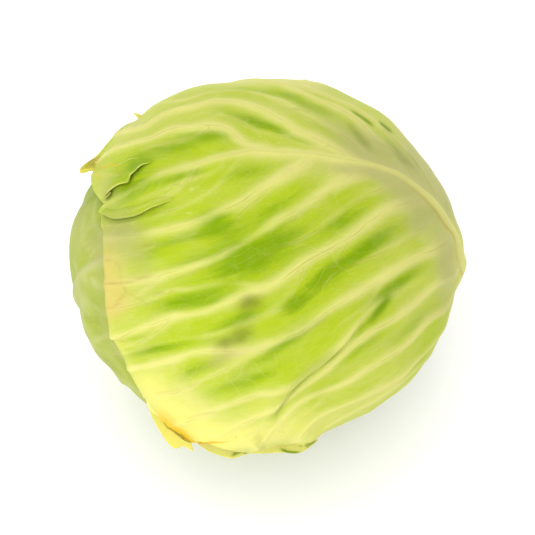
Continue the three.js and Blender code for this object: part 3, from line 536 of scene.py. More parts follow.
def outer_blade(xy, pixel=None):
    """Everything about the outermost leaf at places on the photograph's map: their directions, the room under
    the body, the height of the outer face over that, in mm, and the masks of its finish, painted shade among
    them. The midrib is a sum of three bell curves, broad, middling and narrow, and the side veins join it by
    the root of the sum of the squares."""
    direction = direction_of(PHOTO_MAP, xy)
    if pixel is None:
        pixel = pixel_of(direction)
    shown = shown_in_photo(direction)
    room, from_rib, share, beside = rib_room(xy, direction, outer_rib, OUTER_ROOM, OUTER_RIB_ROOM)
    width = from_to(OUTER_RIB_WIDTH, share)
    core = from_to(OUTER_RIB_CORE, smoothstep(share, 0.0, 0.5))
    crest = from_to(OUTER_RIB_HEIGHT, share ** 0.7)
    rib = crest * (0.4 * np.exp(-((from_rib / RIB_SPREAD) ** 2))
                   + 0.35 * np.exp(-((from_rib / (0.8 * width)) ** 2))
                   + 0.25 * np.exp(-((from_rib / (1.3 * core)) ** 2)))
    branches = [(s, pixels(p)) for s, p in OUTER_BRANCHES]
    height, pale, thread, near = vein_field(xy, OUTER_LOWER + OUTER_UPPER, branches)
    rib_core = np.exp(-((from_rib / (1.2 * core + 0.6)) ** 2))
    rib_pale = 0.5 * np.exp(-((from_rib / (0.9 * width)) ** 2)) + 0.4 * rib_core
    rib_pale *= 1 - 0.5 * smoothstep(share, 0.75, 1)
    # Painted shade along the midrib's lower side, fainter on its upper side, on one mask with the brown
    # cracks.
    rib_shade_and_cracks = np.exp(-(((from_rib - 1.3 * core) / 1.2) ** 2)) * (1 - smoothstep(share, 0.3, 0.45))
    rib_shade_and_cracks *= np.where(beside < 0, 1, 0.35)
    rib_shade_and_cracks = np.maximum(rib_shade_and_cracks, strokes_at(pixel, CRACKS) * shown)
    puff = 0.35 * (1 - pale) * ripple(direction, 26, 3) + 0.12 * ripple(direction, 9, 4)
    lift = sum(h * np.exp(-(((pixel[:, 0] - x) ** 2 + (pixel[:, 1] - y) ** 2) / r ** 2))
               for x, y, r, h in OUTER_LIFTS)
    up = np.hypot(rib, VEIN_HEIGHT * height) + puff + fold_height(xy, OUTER_FOLDS) + lift * shown
    # Painted shadow on the blade just past the torn lobes' free edges.
    shade = np.zeros(len(xy))
    for edge in (LOW_LOBE_EDGE, MIDDLE_LOBE_EDGE):
        far, along, side = nearest_on(course(edge), pixel, 30)
        cast = np.exp(-((far / MM_PER_DEGREE / LOBE_SHADE) ** 2)) * (side > 0) * smoothstep(along, 0, 0.15)
        shade = np.maximum(shade, cast)
    wash = WASH * smoothstep(np.hypot(*(pixel - HEAD_CENTRE).T), *WASH_RANGE)
    wash = wash + spots_at(pixel, PALE_AND_RIM_LIGHT_SPOTS) * shown
    dull_and_limb_shade = spots_at(pixel, DULL_AND_LIMB_SHADE_SPOTS) * shown + 0.5 * (1 - shown)
    masks = {
        "pale": np.clip(np.maximum(pale, rib_pale) * (1 - 0.25 * wash) + wash, 0, 1),
        "thread": thread,
        "near": near * (1 - np.clip(rib_pale * 1.5, 0, 1)),
        "rib_shade_and_cracks": rib_shade_and_cracks,
        "deep": spots_at(pixel, DEEP_SPOTS) * shown,
        # Painted shade along creases and under the torn lobes' free edges.
        "crease_shade": np.maximum(strokes_at(pixel, CREASE_SHADE_LINES), 0.5 * shade) * shown,
        "yellow": spots_at(pixel, YELLOW_SPOTS) * shown,
        "rust": np.maximum(spots_at(pixel, RUST_SPOTS), strokes_at(pixel, RUST_LINES)) * shown,
        "tan": spots_at(pixel, TAN_SPOTS) * shown,
        # Bruises, with painted shade in the upper right creases.
        "bruise_and_shade": spots_at(pixel, BRUISE_AND_SHADE_SPOTS) * shown,
        # Dulled places, with painted shade along the upper right outline.
        "dull_and_limb_shade": dull_and_limb_shade * (1 - 0.3 * rib_pale - 0.55 * rib_core),
    }
    return direction, room, up, masks


FLANK_MOST = 0.3  # share of a side vein's length that half the midrib may take


def leaf_grid(midrib, wings, rows_per_vein, columns, rib_width):
    """A grid over a whole leaf. Its rows run from one margin over the midrib to the other, and a row between
    two side veins is a cubic blend of the four nearest courses. Gives the places on the leaf's map, the vein
    number and the mm along the vein at each, and the share u of the way to the margin."""
    paths = [np.stack([course(points) for _, points, *_ in veins]) for veins in wings]
    starts = []
    for wing in paths:
        share = np.array([nearest_on(midrib, wing[k, :1])[1][0] for k in range(len(wing))])
        share[0], share[-1] = 1, 0
        starts.append(share)
    row_numbers = np.arange(0, len(paths[0]) - 1 + 1e-9, 1 / rows_per_vein)
    along = np.interp(row_numbers, np.arange(len(paths[0])), starts[0])
    root = np.stack([np.interp(along, np.linspace(0, 1, len(midrib)), midrib[:, i]) for i in range(2)], 1)
    halves = []
    for wing, share in zip(paths, starts):
        number = np.interp(along, share[::-1], np.arange(len(share))[::-1])
        k = np.minimum(number.astype(int), len(wing) - 2)
        t = (number - k)[:, None, None]
        length = np.linalg.norm(np.diff(wing, axis=1), axis=2).sum(1) * MM_PER_DEGREE
        span = np.interp(number, np.arange(len(length)), length)
        width = from_to(rib_width, 1 - along)
        flank = np.minimum(1.3 * width / span, FLANK_MOST)[:, None]
        near = max(columns // 10, 4)
        u = np.concatenate([flank * np.linspace(0, 1, near + 1)[1:],
                            flank + (1 - flank) * np.linspace(0, 1, columns - near + 1)[1:]], 1)
        place = u * (wing.shape[1] - 1)
        low = np.minimum(place.astype(int), wing.shape[1] - 2)
        part = (place - low)[:, :, None]

        def on(shift):
            row = np.clip(k + shift, 0, len(wing) - 1)[:, None]
            return wing[row, low] * (1 - part) + wing[row, low + 1] * part

        def blend(a, b, c, d):
            return 0.5 * (2 * b + (c - a) * t + (2 * a - 5 * b + 4 * c - d) * t ** 2
                          + (3 * b - a - 3 * c + d) * t ** 3)

        first = blend(*[wing[np.clip(k + s, 0, len(wing) - 1), :1] for s in (-1, 0, 1, 2)])
        xy = blend(on(-1), on(0), on(1), on(2)) + (root[:, None] - first) * (1 - u[:, :, None]) ** 3
        halves.append((xy, np.broadcast_to(number[:, None], u.shape), u * span[:, None], u))
    (xy_a, number_a, mm_a, u_a), (xy_b, number_b, mm_b, u_b) = halves
    zero = np.zeros((len(along), 1))
    return (np.concatenate([xy_a[:, ::-1], root[:, None], xy_b], 1),
            np.concatenate([-number_a[:, ::-1], zero, number_b + 0.5], 1),
            np.concatenate([mm_a[:, ::-1], zero, mm_b], 1),
            np.concatenate([u_a[:, ::-1], zero, u_b], 1))


def sheet_faces(rows, columns, flip):
    """Faces of a closed shell: a grid for the outer side, the same turned round for the inner side, and a
    rim."""
    index = np.arange(rows * columns).reshape(rows, columns)
    outer = np.stack([index[:-1, :-1], index[:-1, 1:], index[1:, 1:], index[1:, :-1]], 2).reshape(-1, 4)
    ring = np.concatenate([index[0, :-1], index[:-1, -1], index[-1, :0:-1], index[:0:-1, 0]])
    after = np.roll(ring, -1)
    base = rows * columns
    inner = outer[:, ::-1] + base
    rim = np.stack([after, ring, ring + base, after + base], 1)
    faces = np.concatenate([outer, inner, rim])
    return faces[:, ::-1] if flip else faces


def make_shell(name, outer, inner, shape, attributes, uv, facing=None):
    """A closed thin sheet as a Blender object at the origin, with its masks as point attributes and a UV map.
    Its outer side faces away from the head's centre, or towards a given direction."""
    points = np.concatenate([outer, inner]) * MILLIMETRE
    rows, columns = shape
    grid = outer.reshape(rows, columns, 3)
    across = grid[1:-1, 2:] - grid[1:-1, :-2]
    down = grid[2:, 1:-1] - grid[:-2, 1:-1]
    outward = grid[1:-1, 1:-1] - HEAD_PLACE if facing is None else facing
    flip = (np.cross(across, down) * outward).sum() > 0
    faces = sheet_faces(rows, columns, flip)
    mesh = bpy.data.meshes.new(name)
    mesh.vertices.add(len(points))
    mesh.vertices.foreach_set("co", points.astype(np.float32).ravel())
    mesh.loops.add(faces.size)
    mesh.loops.foreach_set("vertex_index", faces.astype(np.int32).ravel())
    mesh.polygons.add(len(faces))
    mesh.polygons.foreach_set("loop_start", np.arange(0, faces.size, 4, dtype=np.int32))
    mesh.polygons.foreach_set("use_smooth", np.ones(len(faces), bool))
    mesh.update()
    for key, values in attributes.items():
        layer = mesh.attributes.new(key, "FLOAT", "POINT")
        layer.data.foreach_set("value", np.tile(values, 2).astype(np.float32))
    layer = mesh.uv_layers.new(name="flow")
    layer.data.foreach_set("uv", np.tile(uv, (2, 1))[faces.ravel()].astype(np.float32).ravel())
    piece = bpy.data.objects.new(name, mesh)
    bpy.context.scene.collection.objects.link(piece)
    return piece


def node(tree, kind, *inputs, **settings):
    """A shader node with its settings, and its inputs by place: sockets are linked, and other values but None
    are set."""
    made = tree.nodes.new(kind)
    for key, value in settings.items():
        setattr(made, key, value)
    for place, value in enumerate(inputs):
        if isinstance(value, bpy.types.NodeSocket):
            tree.links.new(value, made.inputs[place])
        elif value is not None:
            made.inputs[place].default_value = value
    return made


LAMP_GAIN = 1.5  # light on the head's upper side, over the light that shows a colour as it is given


def colour(red, green, blue):
    """A colour as seen on screen, 0 to 255, as the share of the light that the surface gives back."""
    share = [c / 255 for c in (red, green, blue)]
    linear = [c / 12.92 if c <= 0.04045 else ((c + 0.055) / 1.055) ** 2.4 for c in share]
    return tuple(c / LAMP_GAIN for c in linear) + (1.0,)


def mask(tree, name):
    """A point attribute's value."""
    return node(tree, "ShaderNodeAttribute", attribute_name=name).outputs["Fac"]


def maths(tree, operation, a, b=None, c=None):
    """One step of arithmetic on sockets or numbers."""
    return node(tree, "ShaderNodeMath", a, b, c, operation=operation).outputs[0]


def ramp(tree, value, low, high, to_low=0.0, to_high=1.0):
    """A value carried smoothly from one range to another."""
    return node(tree, "ShaderNodeMapRange", value, low, high, to_low, to_high,
                interpolation_type="SMOOTHSTEP").outputs[0]


def mixed(tree, share, a, b):
    """Two colours mixed by a share. A Mix node's colour sockets are its inputs 6 and 7 and its output 2."""
    return node(tree, "ShaderNodeMix", share, None, None, None, None, None, a, b, data_type="RGBA").outputs[2]


def noise(tree, vector, scale, detail):
    """Soft noise round 0.5."""
    made = node(tree, "ShaderNodeTexNoise", vector)
    made.inputs["Scale"].default_value = scale
    made.inputs["Detail"].default_value = detail
    made.inputs["Roughness"].default_value = 0.55
    return made.outputs["Fac"]


def leaf_finish():
    """The look of a cabbage leaf's blade as a group: green between the veins, pale along them with dark
    threads in their middle, streaks that follow them, a faint net of the smallest veins, yellowed, tanned,
    dulled, rusty and bruised places, and painted shade along creases, beside the midrib and by the outline."""
    group = bpy.data.node_groups.new("leaf_finish", "ShaderNodeTree")
    for name in ("Green", "Deep", "Pale"):
        group.interface.new_socket(name, in_out="INPUT", socket_type="NodeSocketColor")
    for name, kind in (("Color", "Color"), ("Roughness", "Float"), ("Height", "Float")):
        group.interface.new_socket(name, in_out="OUTPUT", socket_type="NodeSocket" + kind)
    given = group.nodes.new("NodeGroupInput")
    taken = group.nodes.new("NodeGroupOutput")
    place = group.nodes.new("ShaderNodeTexCoord").outputs["Object"]
    flow = node(group, "ShaderNodeUVMap", uv_map="flow").outputs[0]

    def stretched(vector, across, along):
        """A vector on the leaf scaled across and along its veins."""
        return node(group, "ShaderNodeMapping", vector, None, None, (across, along, 1)).outputs[0]

    def added(value, share, other):
        """share * value + other."""
        return maths(group, "MULTIPLY_ADD", value, share, other)

    def varied(texture, share, other):
        """share * (texture - 0.5) + other."""
        return added(maths(group, "ADD", texture, -0.5), share, other)

    def tinted(share, amount, below, tint):
        """The colour below, with a tint over it by amount * share."""
        return mixed(group, maths(group, "MULTIPLY", share, amount), below, tint)

    def network(vector, width, gap_scale, gap_from, gap_to):
        """Thin lines between uneven cells, which run out where a soft noise is low."""
        cells = node(group, "ShaderNodeTexVoronoi", vector, feature="DISTANCE_TO_EDGE",
                     voronoi_dimensions="2D")
        cells.inputs["Scale"].default_value = 1.0
        line = ramp(group, cells.outputs["Distance"], 0.0, width, 1.0, 0.0)
        gaps = ramp(group, noise(group, place, gap_scale, 2), gap_from, gap_to)
        return maths(group, "MULTIPLY", line, gaps)

    mottle = noise(group, place, 55, 4)
    fleck = noise(group, place, 260, 3)
    fine = noise(group, stretched(flow, 170, 16), 1.0, 3)
    streak = noise(group, stretched(flow, 70, 6), 1.0, 3)
    band = noise(group, stretched(flow, 22, 2.5), 1.0, 2)
    wander = node(group, "ShaderNodeTexNoise", place)
    wander.inputs["Scale"].default_value = 60
    half = (-0.5, -0.5, -0.5)
    shift = node(group, "ShaderNodeVectorMath", wander.outputs["Color"], half, operation="ADD").outputs[0]
    bent = node(group, "ShaderNodeVectorMath", shift, (1.6, 1.6, 0), stretched(flow, 14, 9),
                operation="MULTIPLY_ADD").outputs[0]
    net_line = network(bent, 0.06, 38, 0.44, 0.66)
    small_line = network(stretched(bent, 3.1, 2.3), 0.09, 52, 0.42, 0.7)

    uneven = maths(group, "ADD", mottle, -0.5)
    deep = varied(band, 1.3, varied(streak, 0.9, mask(group, "deep")))
    deep = added(uneven, 1.1, deep)
    pale = varied(streak, 0.35, varied(band, 0.4, mask(group, "pale")))
    pale = added(mask(group, "deep"), -0.3, pale)
    pale = added(uneven, 0.75, maths(group, "ADD", pale, 0.05))
    pale = varied(fine, 0.4, pale)
    base = mixed(group, ramp(group, deep, -0.1, 1.2), given.outputs["Green"], given.outputs["Deep"])
    base = tinted(net_line, 0.16, base, given.outputs["Pale"])
    base = tinted(small_line, 0.12, base, given.outputs["Pale"])
    base = mixed(group, ramp(group, pale, -0.15, 1.1), base, given.outputs["Pale"])

    # Blemishes, and on the dull and bruise masks painted shade too: (mask, how much the mottle breaks it up,
    # value at which it starts and is full, its most, colour).
    blemishes_and_shade = [
        ("yellow", 0.7, 0.05, 1.6, 0.92, colour(255, 247, 128)),
        ("tan", 0.8, 0.05, 1.1, 0.65, colour(226, 200, 112)),
        ("dull_and_limb_shade", 0.5, 0.0, 1.1, 0.72, colour(186, 185, 118)),
        ("rust", 0.7, 0.12, 1.2, 0.9, colour(250, 196, 16)),
        ("bruise_and_shade", 1.2, 0.1, 1.2, 0.75, colour(118, 124, 40)),
    ]
    for name, broken_up, start, full, most, tint in blemishes_and_shade:
        amount = added(uneven, broken_up, mask(group, name))
        base = mixed(group, ramp(group, amount, start, full, 0.0, most), base, tint)

    strayed = varied(noise(group, place, 90, 2), 2.4, mask(group, "thread"))
    first = ramp(group, maths(group, "ABSOLUTE", strayed), 0.05, 0.4, 1.0, 0.0)
    second = ramp(group, maths(group, "ABSOLUTE", maths(group, "ADD", strayed, 1.3)), 0.05, 0.34, 0.5, 0.0)
    broken = ramp(group, noise(group, place, 45, 2), 0.42, 0.66)
    thread = maths(group, "MULTIPLY", maths(group, "MAXIMUM", first, second), mask(group, "near"))
    thread = maths(group, "MULTIPLY", thread, broken)
    base = tinted(thread, 0.45, base, colour(168, 160, 56))
    # Painted shade beside the midrib, with the brown cracks.
    base = tinted(mask(group, "rib_shade_and_cracks"), 0.5, base, colour(182, 160, 70))
    # Painted shade along creases and under the torn lobes.
    base = tinted(mask(group, "crease_shade"), 0.85, base, colour(118, 148, 4))
    base = mixed(group, ramp(group, fleck, 0.45, 0.85, 0.0, 0.08), base, colour(240, 242, 150))
    group.links.new(base, taken.inputs["Color"])

    group.links.new(added(fleck, 0.1, added(mottle, 0.2, 0.4)), taken.inputs["Roughness"])
    relief = added(small_line, 0.12, maths(group, "MULTIPLY", net_line, 0.2))
    for texture, share in ((streak, 0.6), (fine, 0.3), (mottle, 0.8), (fleck, 0.15)):
        relief = added(texture, share, relief)
    group.links.new(relief, taken.inputs["Height"])
    return group


LEAF_FINISH = leaf_finish()


def leaf_material(name, green, deep, pale):
    """A leaf's material, in its three greens: the finish group feeds a waxy, faintly translucent surface."""
    material = bpy.data.materials.new(name)
    material.use_nodes = True
    tree = material.node_tree
    shader = tree.nodes["Principled BSDF"]
    finish = node(tree, "ShaderNodeGroup", node_tree=LEAF_FINISH)
    for key, value in (("Green", green), ("Deep", deep), ("Pale", pale)):
        finish.inputs[key].default_value = value
    bump = tree.nodes.new("ShaderNodeBump")
    bump.inputs["Strength"].default_value = 0.5
    bump.inputs["Distance"].default_value = 0.0007
    tree.links.new(finish.outputs["Height"], bump.inputs["Height"])
    tree.links.new(finish.outputs["Color"], shader.inputs["Base Color"])
    tree.links.new(finish.outputs["Roughness"], shader.inputs["Roughness"])
    tree.links.new(bump.outputs["Normal"], shader.inputs["Normal"])
    shader.inputs["Specular IOR Level"].default_value = 0.06
    shader.inputs["Subsurface Weight"].default_value = 0.25
    shader.inputs["Subsurface Radius"].default_value = (0.9, 1.0, 0.3)
    shader.inputs["Subsurface Scale"].default_value = 0.003
    return material


outer_material = leaf_material(
    "outer_leaf_blade", colour(186, 207, 34), colour(138, 174, 0), colour(232, 229, 134))
FLOW_UNIT = 100  # mm along the veins that the flow map's unit stands for
FLOW_PER_VEIN = 10  # mm across them from one vein to the next


def blade_at(u):
    """Thickness of a leaf's blade at a share u of the way to its margin."""
    return from_to((BLADE, MARGIN_BLADE), smoothstep(u, MARGIN_FROM, 1))


def leaf_shell(name, leaf_map, grid, depth, up, thick, masks, material, node_name):
    """A leaf's object, in place of its CAD node: its outer face stands `up` over a layer under the body, and
    its inner face lies `thick` under that layer."""
    xy, number, along_mm, u = grid
    direction = direction_of(leaf_map, xy.reshape(-1, 2))
    outer = place_on_layer(direction, depth - up)
    inner = place_on_layer(direction, depth + thick)
    uv = np.stack([number.ravel() * FLOW_PER_VEIN, along_mm.ravel()], 1) / FLOW_UNIT
    piece = make_shell(name, outer, inner, u.shape, masks, uv)
    piece.data.materials.append(material)
    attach(piece, "root")
    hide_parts(node_name)


outer_grid = leaf_grid(outer_rib, [OUTER_LOWER, OUTER_UPPER], 14, 96, OUTER_RIB_WIDTH)
outer_xy = outer_grid[0].reshape(-1, 2)
_, room, up, masks = outer_blade(outer_xy)
thick = blade_at(outer_grid[3].ravel()) - fold_height(outer_xy, OUTER_FOLDS)
leaf_shell("outer_leaf", PHOTO_MAP, outer_grid, room, up, thick, masks, outer_material,
           node_name="leaf_outer")

# Where its margin is torn, the outermost leaf's lobes lap over one another, and its lower corner curls out.
# They are the same blade, so each is a thin sheet that grows out of it and ends in a free edge that stands
# off it.
PLY_THICKNESS = 0.55
PLY_SINK = 0.7  # by which a ply's root lies in the blade
PLY_LENGTH = 40  # mm along a ply on the flow map


def ply(name, root_edge, free_edge, lift, opens, columns=18, rows=121, sink=PLY_SINK, tint=None):
    """A lobe between two courses of pixels. From its root, v = 0, to its free edge, v = 1, it stands over the
    blade by (lift * v^1.5 + wave * v^2) * o - sink * (1 - v * o)^2, in mm, where o grows from 0 to 1 over the
    share `opens` of its length. Past the head's outline it goes on straight, as far out as its pixels lie. A
    tint gives some of its masks one value all over."""
    v = np.linspace(0, 1, columns)[None, :]
    along = np.linspace(0, 1, rows)[:, None]
    first, last = course(root_edge, rows)[:, None], course(free_edge, rows)[:, None]
    pixel = (first + (last - first) * v[..., None]).reshape(-1, 2)
    xy, beyond = seen(pixel)
    direction, room, up, masks = outer_blade(xy, pixel)
    opened = smoothstep(along, 0, opens) if opens else np.ones_like(along)
    wave = 0.18 * ripple(direction, 12, rows).reshape(rows, columns)
    stands = ((lift * v ** 1.5 + wave * v ** 2) * opened - sink * (1 - v * opened) ** 2).ravel()
    # Painted highlight: a pale rim along the free edge; painted shade: the green deepens towards that edge.
    edge = (smoothstep(v, 0.9, 0.99) * opened).ravel()
    masks["pale"] = np.maximum(masks["pale"], 0.65 * edge)
    masks["deep"] = masks["deep"] * (1 - edge) + 0.3 * (v * opened).ravel() * (1 - edge)
    for key, value in (tint or {}).items():
        masks[key] = np.full(len(xy), value)
    depth = (room - up - stands) * (1 - smoothstep(beyond, 0, 2)) - beyond
    outer = place_on_layer(direction, depth)
    limb = smoothstep(beyond, 0, 1)[:, None]
    inner = (1 - limb) * place_on_layer(direction, depth + PLY_THICKNESS)
    inner += limb * (outer - TO_EYE * PLY_THICKNESS)
    across, down = np.broadcast_to(v, (rows, columns)), np.broadcast_to(along, (rows, columns))
    uv = np.stack([across.ravel() * FLOW_PER_VEIN, down.ravel() * PLY_LENGTH], 1) / FLOW_UNIT
    piece = make_shell(name, outer, inner, (rows, columns), masks, uv, TO_EYE)
    piece.data.materials.append(outer_material)
    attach(piece, "root")


ply("torn_lobe_low",
    [(186, 186), (172, 186), (158, 188), (146, 191), (132, 196), (120, 200), (110, 204), (102, 204)],
    LOW_LOBE_EDGE, lift=1.7, opens=0.4)
ply("torn_lobe_middle",
    [(160, 148), (148, 152), (134, 155), (124, 158), (116, 163), (108, 168), (100, 174), (96, 184)],
    MIDDLE_LOBE_EDGE, lift=1.8, opens=0.35)
ply("torn_lobe_edge",
    [(160, 146), (148, 148), (134, 149), (124, 151), (116, 155), (108, 160), (100, 164)],
    [(157, 153), (146, 155), (134, 156), (125, 158), (115, 163), (107, 166), (98, 170)],
    lift=0.15, opens=0.5)
ply("torn_lobe_high",
    [(150, 128), (142, 133), (132, 140), (124, 147), (116, 155), (110, 161), (106, 166)],
    [(143, 115), (131, 123), (120, 131), (109, 144), (99, 154), (89, 162), (80, 170)],
    lift=1.2, opens=0.3, tint={"deep": 0})
ply("yellow_tip",
    [(112, 155), (109, 160), (104, 165), (99, 169)],
    [(93, 159), (82, 167), (80, 173), (90, 172.5)],
    lift=1.6, opens=0, columns=14, rows=41, tint={"deep": 0, "yellow": 0.7, "rust": 0.45, "dull_and_limb_shade": 0})
ply("tear_curl", [(107, 190), (104, 192), (102, 195)], [(110, 192), (107, 197), (103, 199)],
    lift=2.0, opens=0, columns=8, rows=25)
ply("lower_margin_fold",
    [(146, 390), (160, 400), (174, 410), (188, 418), (202, 422), (216, 424), (228, 426), (240, 430)],
    [(155, 411), (166, 424), (177, 435), (189, 443), (201, 442), (212, 440), (224, 438), (236, 435)],
    lift=0.8, opens=0.1, tint={"deep": 0})
ply("lower_margin_curl",
    [(144, 392), (156, 409), (168, 422), (180, 434), (192, 443)],
    [(147, 406), (157, 426), (168, 443), (175, 449), (184, 447), (194, 452)],
    lift=0.4, opens=0, columns=16, rows=81,
    tint={"deep": 0, "yellow": 1.4, "pale": 0.8, "dull_and_limb_shade": 0, "rust": 0.15})
ply("lower_under_fold",
    [(197, 441), (206, 440), (216, 439), (226, 437), (234, 435), (244, 436), (254, 438), (266, 440),
     (282, 442), (294, 441), (302, 437), (310, 432), (315, 427)],
    [(199, 445), (206, 450), (214, 454), (224, 457), (233, 459), (243, 456), (252, 454), (264, 454),
     (283, 453), (297, 454), (305, 451), (312, 446), (318, 441)],
    lift=0.4, opens=0, columns=16, rows=141, sink=0.6,
    tint={"deep": 0, "pale": 1.0, "dull_and_limb_shade": 0, "yellow": 0.6})
ply("edge_spike", [(139, 119), (141, 118), (144, 115)], [(133, 113), (134, 113), (143, 115)],
    lift=0.1, opens=0, columns=8, rows=17, tint={"deep": 0, "yellow": 1.2, "dull_and_limb_shade": 0})

# The three leaves under it. They are the same kind of leaf, seen from their outer side where the outermost
# one leaves them bare: at the left, underneath, behind and round the stalk.
PRESS_FREE = 2.5  # mm past a leaf's outline where it still presses in full on what lies under it
PRESS_FADE = 24  # mm over which that then fades
PRESSED_FLAT = (0.9, 0.96)  # share of a direction that points down, over which the veins are pressed flat
LEAF_FOOT = LEAF_BASE - 90  # degrees on a leaf's own map
RULED_ROOM = 1.5  # that an under leaf leaves for its side veins under what lies on it
RULED_RIB_ROOM = 3.0  # that it leaves for its midrib besides
RULED_RIB_WIDTH = (9, 3)  # half width of the midrib at its foot and its tip
RULED_RIB_HEIGHT = (4.3, 1.0)  # height of the midrib at its foot and its tip
under_material = leaf_material(
    "under_leaf_blade", colour(174, 189, 70), colour(150, 174, 44), colour(202, 206, 132))


def seeded(seed):
    """A stream of numbers from 0 to 1: each is the last times 16807, less whole turns of 2^31 - 1."""
    while True:
        seed = seed * 16807 % 2147483647
        yield seed / 2147483647


def ruled_veins(side, tip, foot, width, count, bow, draw):
    """Half of a leaf's side veins: each leaves the midrib, bends towards the tip and ends on an oval
    margin."""
    tip_x = bow * math.sin(4.5)
    veins = [(0, [(tip_x, tip), (tip_x + side * 7, tip - 0.8)], 0)]
    t = np.array([0, 0.12, 0.3, 0.5, 0.75, 1])
    for k in range(1, count + 1):
        share = k / (count + 0.6)
        low = LEAF_FOOT + 2
        start = tip - 9 + (low - tip + 9) * share ** 0.92 + 2.2 * (next(draw) - 0.5)
        turn = math.radians(12 + 118 * share + 4 * (next(draw) - 0.5))
        reach = tip if math.cos(turn) > 0 else foot
        end = (side * width * math.sin(turn) ** 0.9, reach * math.cos(turn))
        bend = 0.3 + 0.12 * next(draw)
        via = (end[0] * 0.5, start + (end[1] - start) * bend)
        x = 2 * t * (1 - t) * via[0] + t * t * end[0]
        y = (1 - t) ** 2 * start + 2 * t * (1 - t) * via[1] + t * t * end[1]
        veins.append((0.55 if k % 3 == 2 else 1, list(zip(x, y)), 0))
    veins.append((0, [(0, LEAF_FOOT), (side * 7, LEAF_FOOT + 0.8), (side * 16, LEAF_FOOT + 3.5),
                      (side * 28, LEAF_FOOT + 9), (side * 42, LEAF_FOOT + 16)], 0))
    return veins


def map_around(turn):
    """A map centred half way along a leaf whose midrib runs at `turn` degrees round the stalk's axis."""
    centre = FACE_SIDE * math.cos(math.radians(turn)) + UP * math.sin(math.radians(turn))
    return centre, np.cross(-STALK_AXIS, centre), -STALK_AXIS


def margin_of(wings):
    """A leaf's outline on its map: along the tip, through the ends of the side veins, and along the foot."""
    edges = []
    for veins in wings:
        paths = [course(points) for _, points, *_ in veins]
        ends = [p[-1] for p in paths[1:-1]]
        edges.append([*paths[0][::80], *ends, *paths[-1][::-40]])
    return np.array(edges[0][::-1] + edges[1])


def press_of(leaf_map, margin, direction):
    """How far a leaf presses on what lies under it: 1 inside its outline, then a smooth fall to 0 past it."""
    xy = map_of(leaf_map, direction)
    a, b = margin, np.roll(margin, -1, 0)
    crosses = (a[:, 1] > xy[:, None, 1]) != (b[:, 1] > xy[:, None, 1])
    rise = np.where(b[:, 1] == a[:, 1], 1, b[:, 1] - a[:, 1])
    left = xy[:, None, 0] < (b[:, 0] - a[:, 0]) * (xy[:, None, 1] - a[:, 1]) / rise + a[:, 0]
    inside = (crosses & left).sum(1) % 2 == 1
    d = b - a
    offset = xy[:, None] - a
    t = np.clip((offset * d).sum(2) / np.maximum((d * d).sum(1), 1e-9), 0, 1)
    far = np.linalg.norm(offset - t[:, :, None] * d, axis=2).min(1) * MM_PER_DEGREE
    return np.where(inside, 1, 1 - smoothstep(np.maximum(far - PRESS_FREE, 0), 0, PRESS_FADE))


layers = [(PHOTO_MAP, margin_of([OUTER_LOWER, OUTER_UPPER]), outer_rib, OUTER_ROOM, OUTER_RIB_ROOM)]


def covered(direction):
    """Depth in mm under the body that is taken by the leaves made so far."""
    deep = np.zeros(len(direction))
    for leaf_map, margin, rib, room, extra in layers:
        own = rib_room(map_of(leaf_map, direction), direction, rib, room, extra)[0]
        deep += press_of(leaf_map, margin, direction) * (own + BLADE + GAP)
    return deep


# The crease, the pale lines and the nub that show on the left-hand leaf, as in the outermost leaf's folds.
LEFT_FOLDS = [
    ([(76, 306), (82, 318), (92, 324), (108, 327)], 1.6, 7, 1.2),
    ([(104, 338), (110, 358), (124, 380), (142, 402)], 1.2, 5, 1.5),
    ([(84, 345), (98, 360), (113, 374), (124, 386)], 1.2, 5, 3.0),
]
LEFT_LINES = [
    (0.7, [(69, 262), (78, 278), (88, 286), (102, 293)]),
    (0.5, [(86, 196), (84, 210), (86, 226), (94, 240), (102, 252)]),
    (0.4, [(78, 214), (76, 232), (82, 252), (92, 268)]),
    (0.4, [(74, 300), (84, 316), (96, 324), (110, 326)]),
    (0.6, [(84, 348), (96, 341), (108, 337)]),
    (0.6, [(96, 356), (112, 372), (130, 392), (148, 412)]),
    (0.4, [(104, 346), (116, 362), (130, 380), (144, 398)]),
]


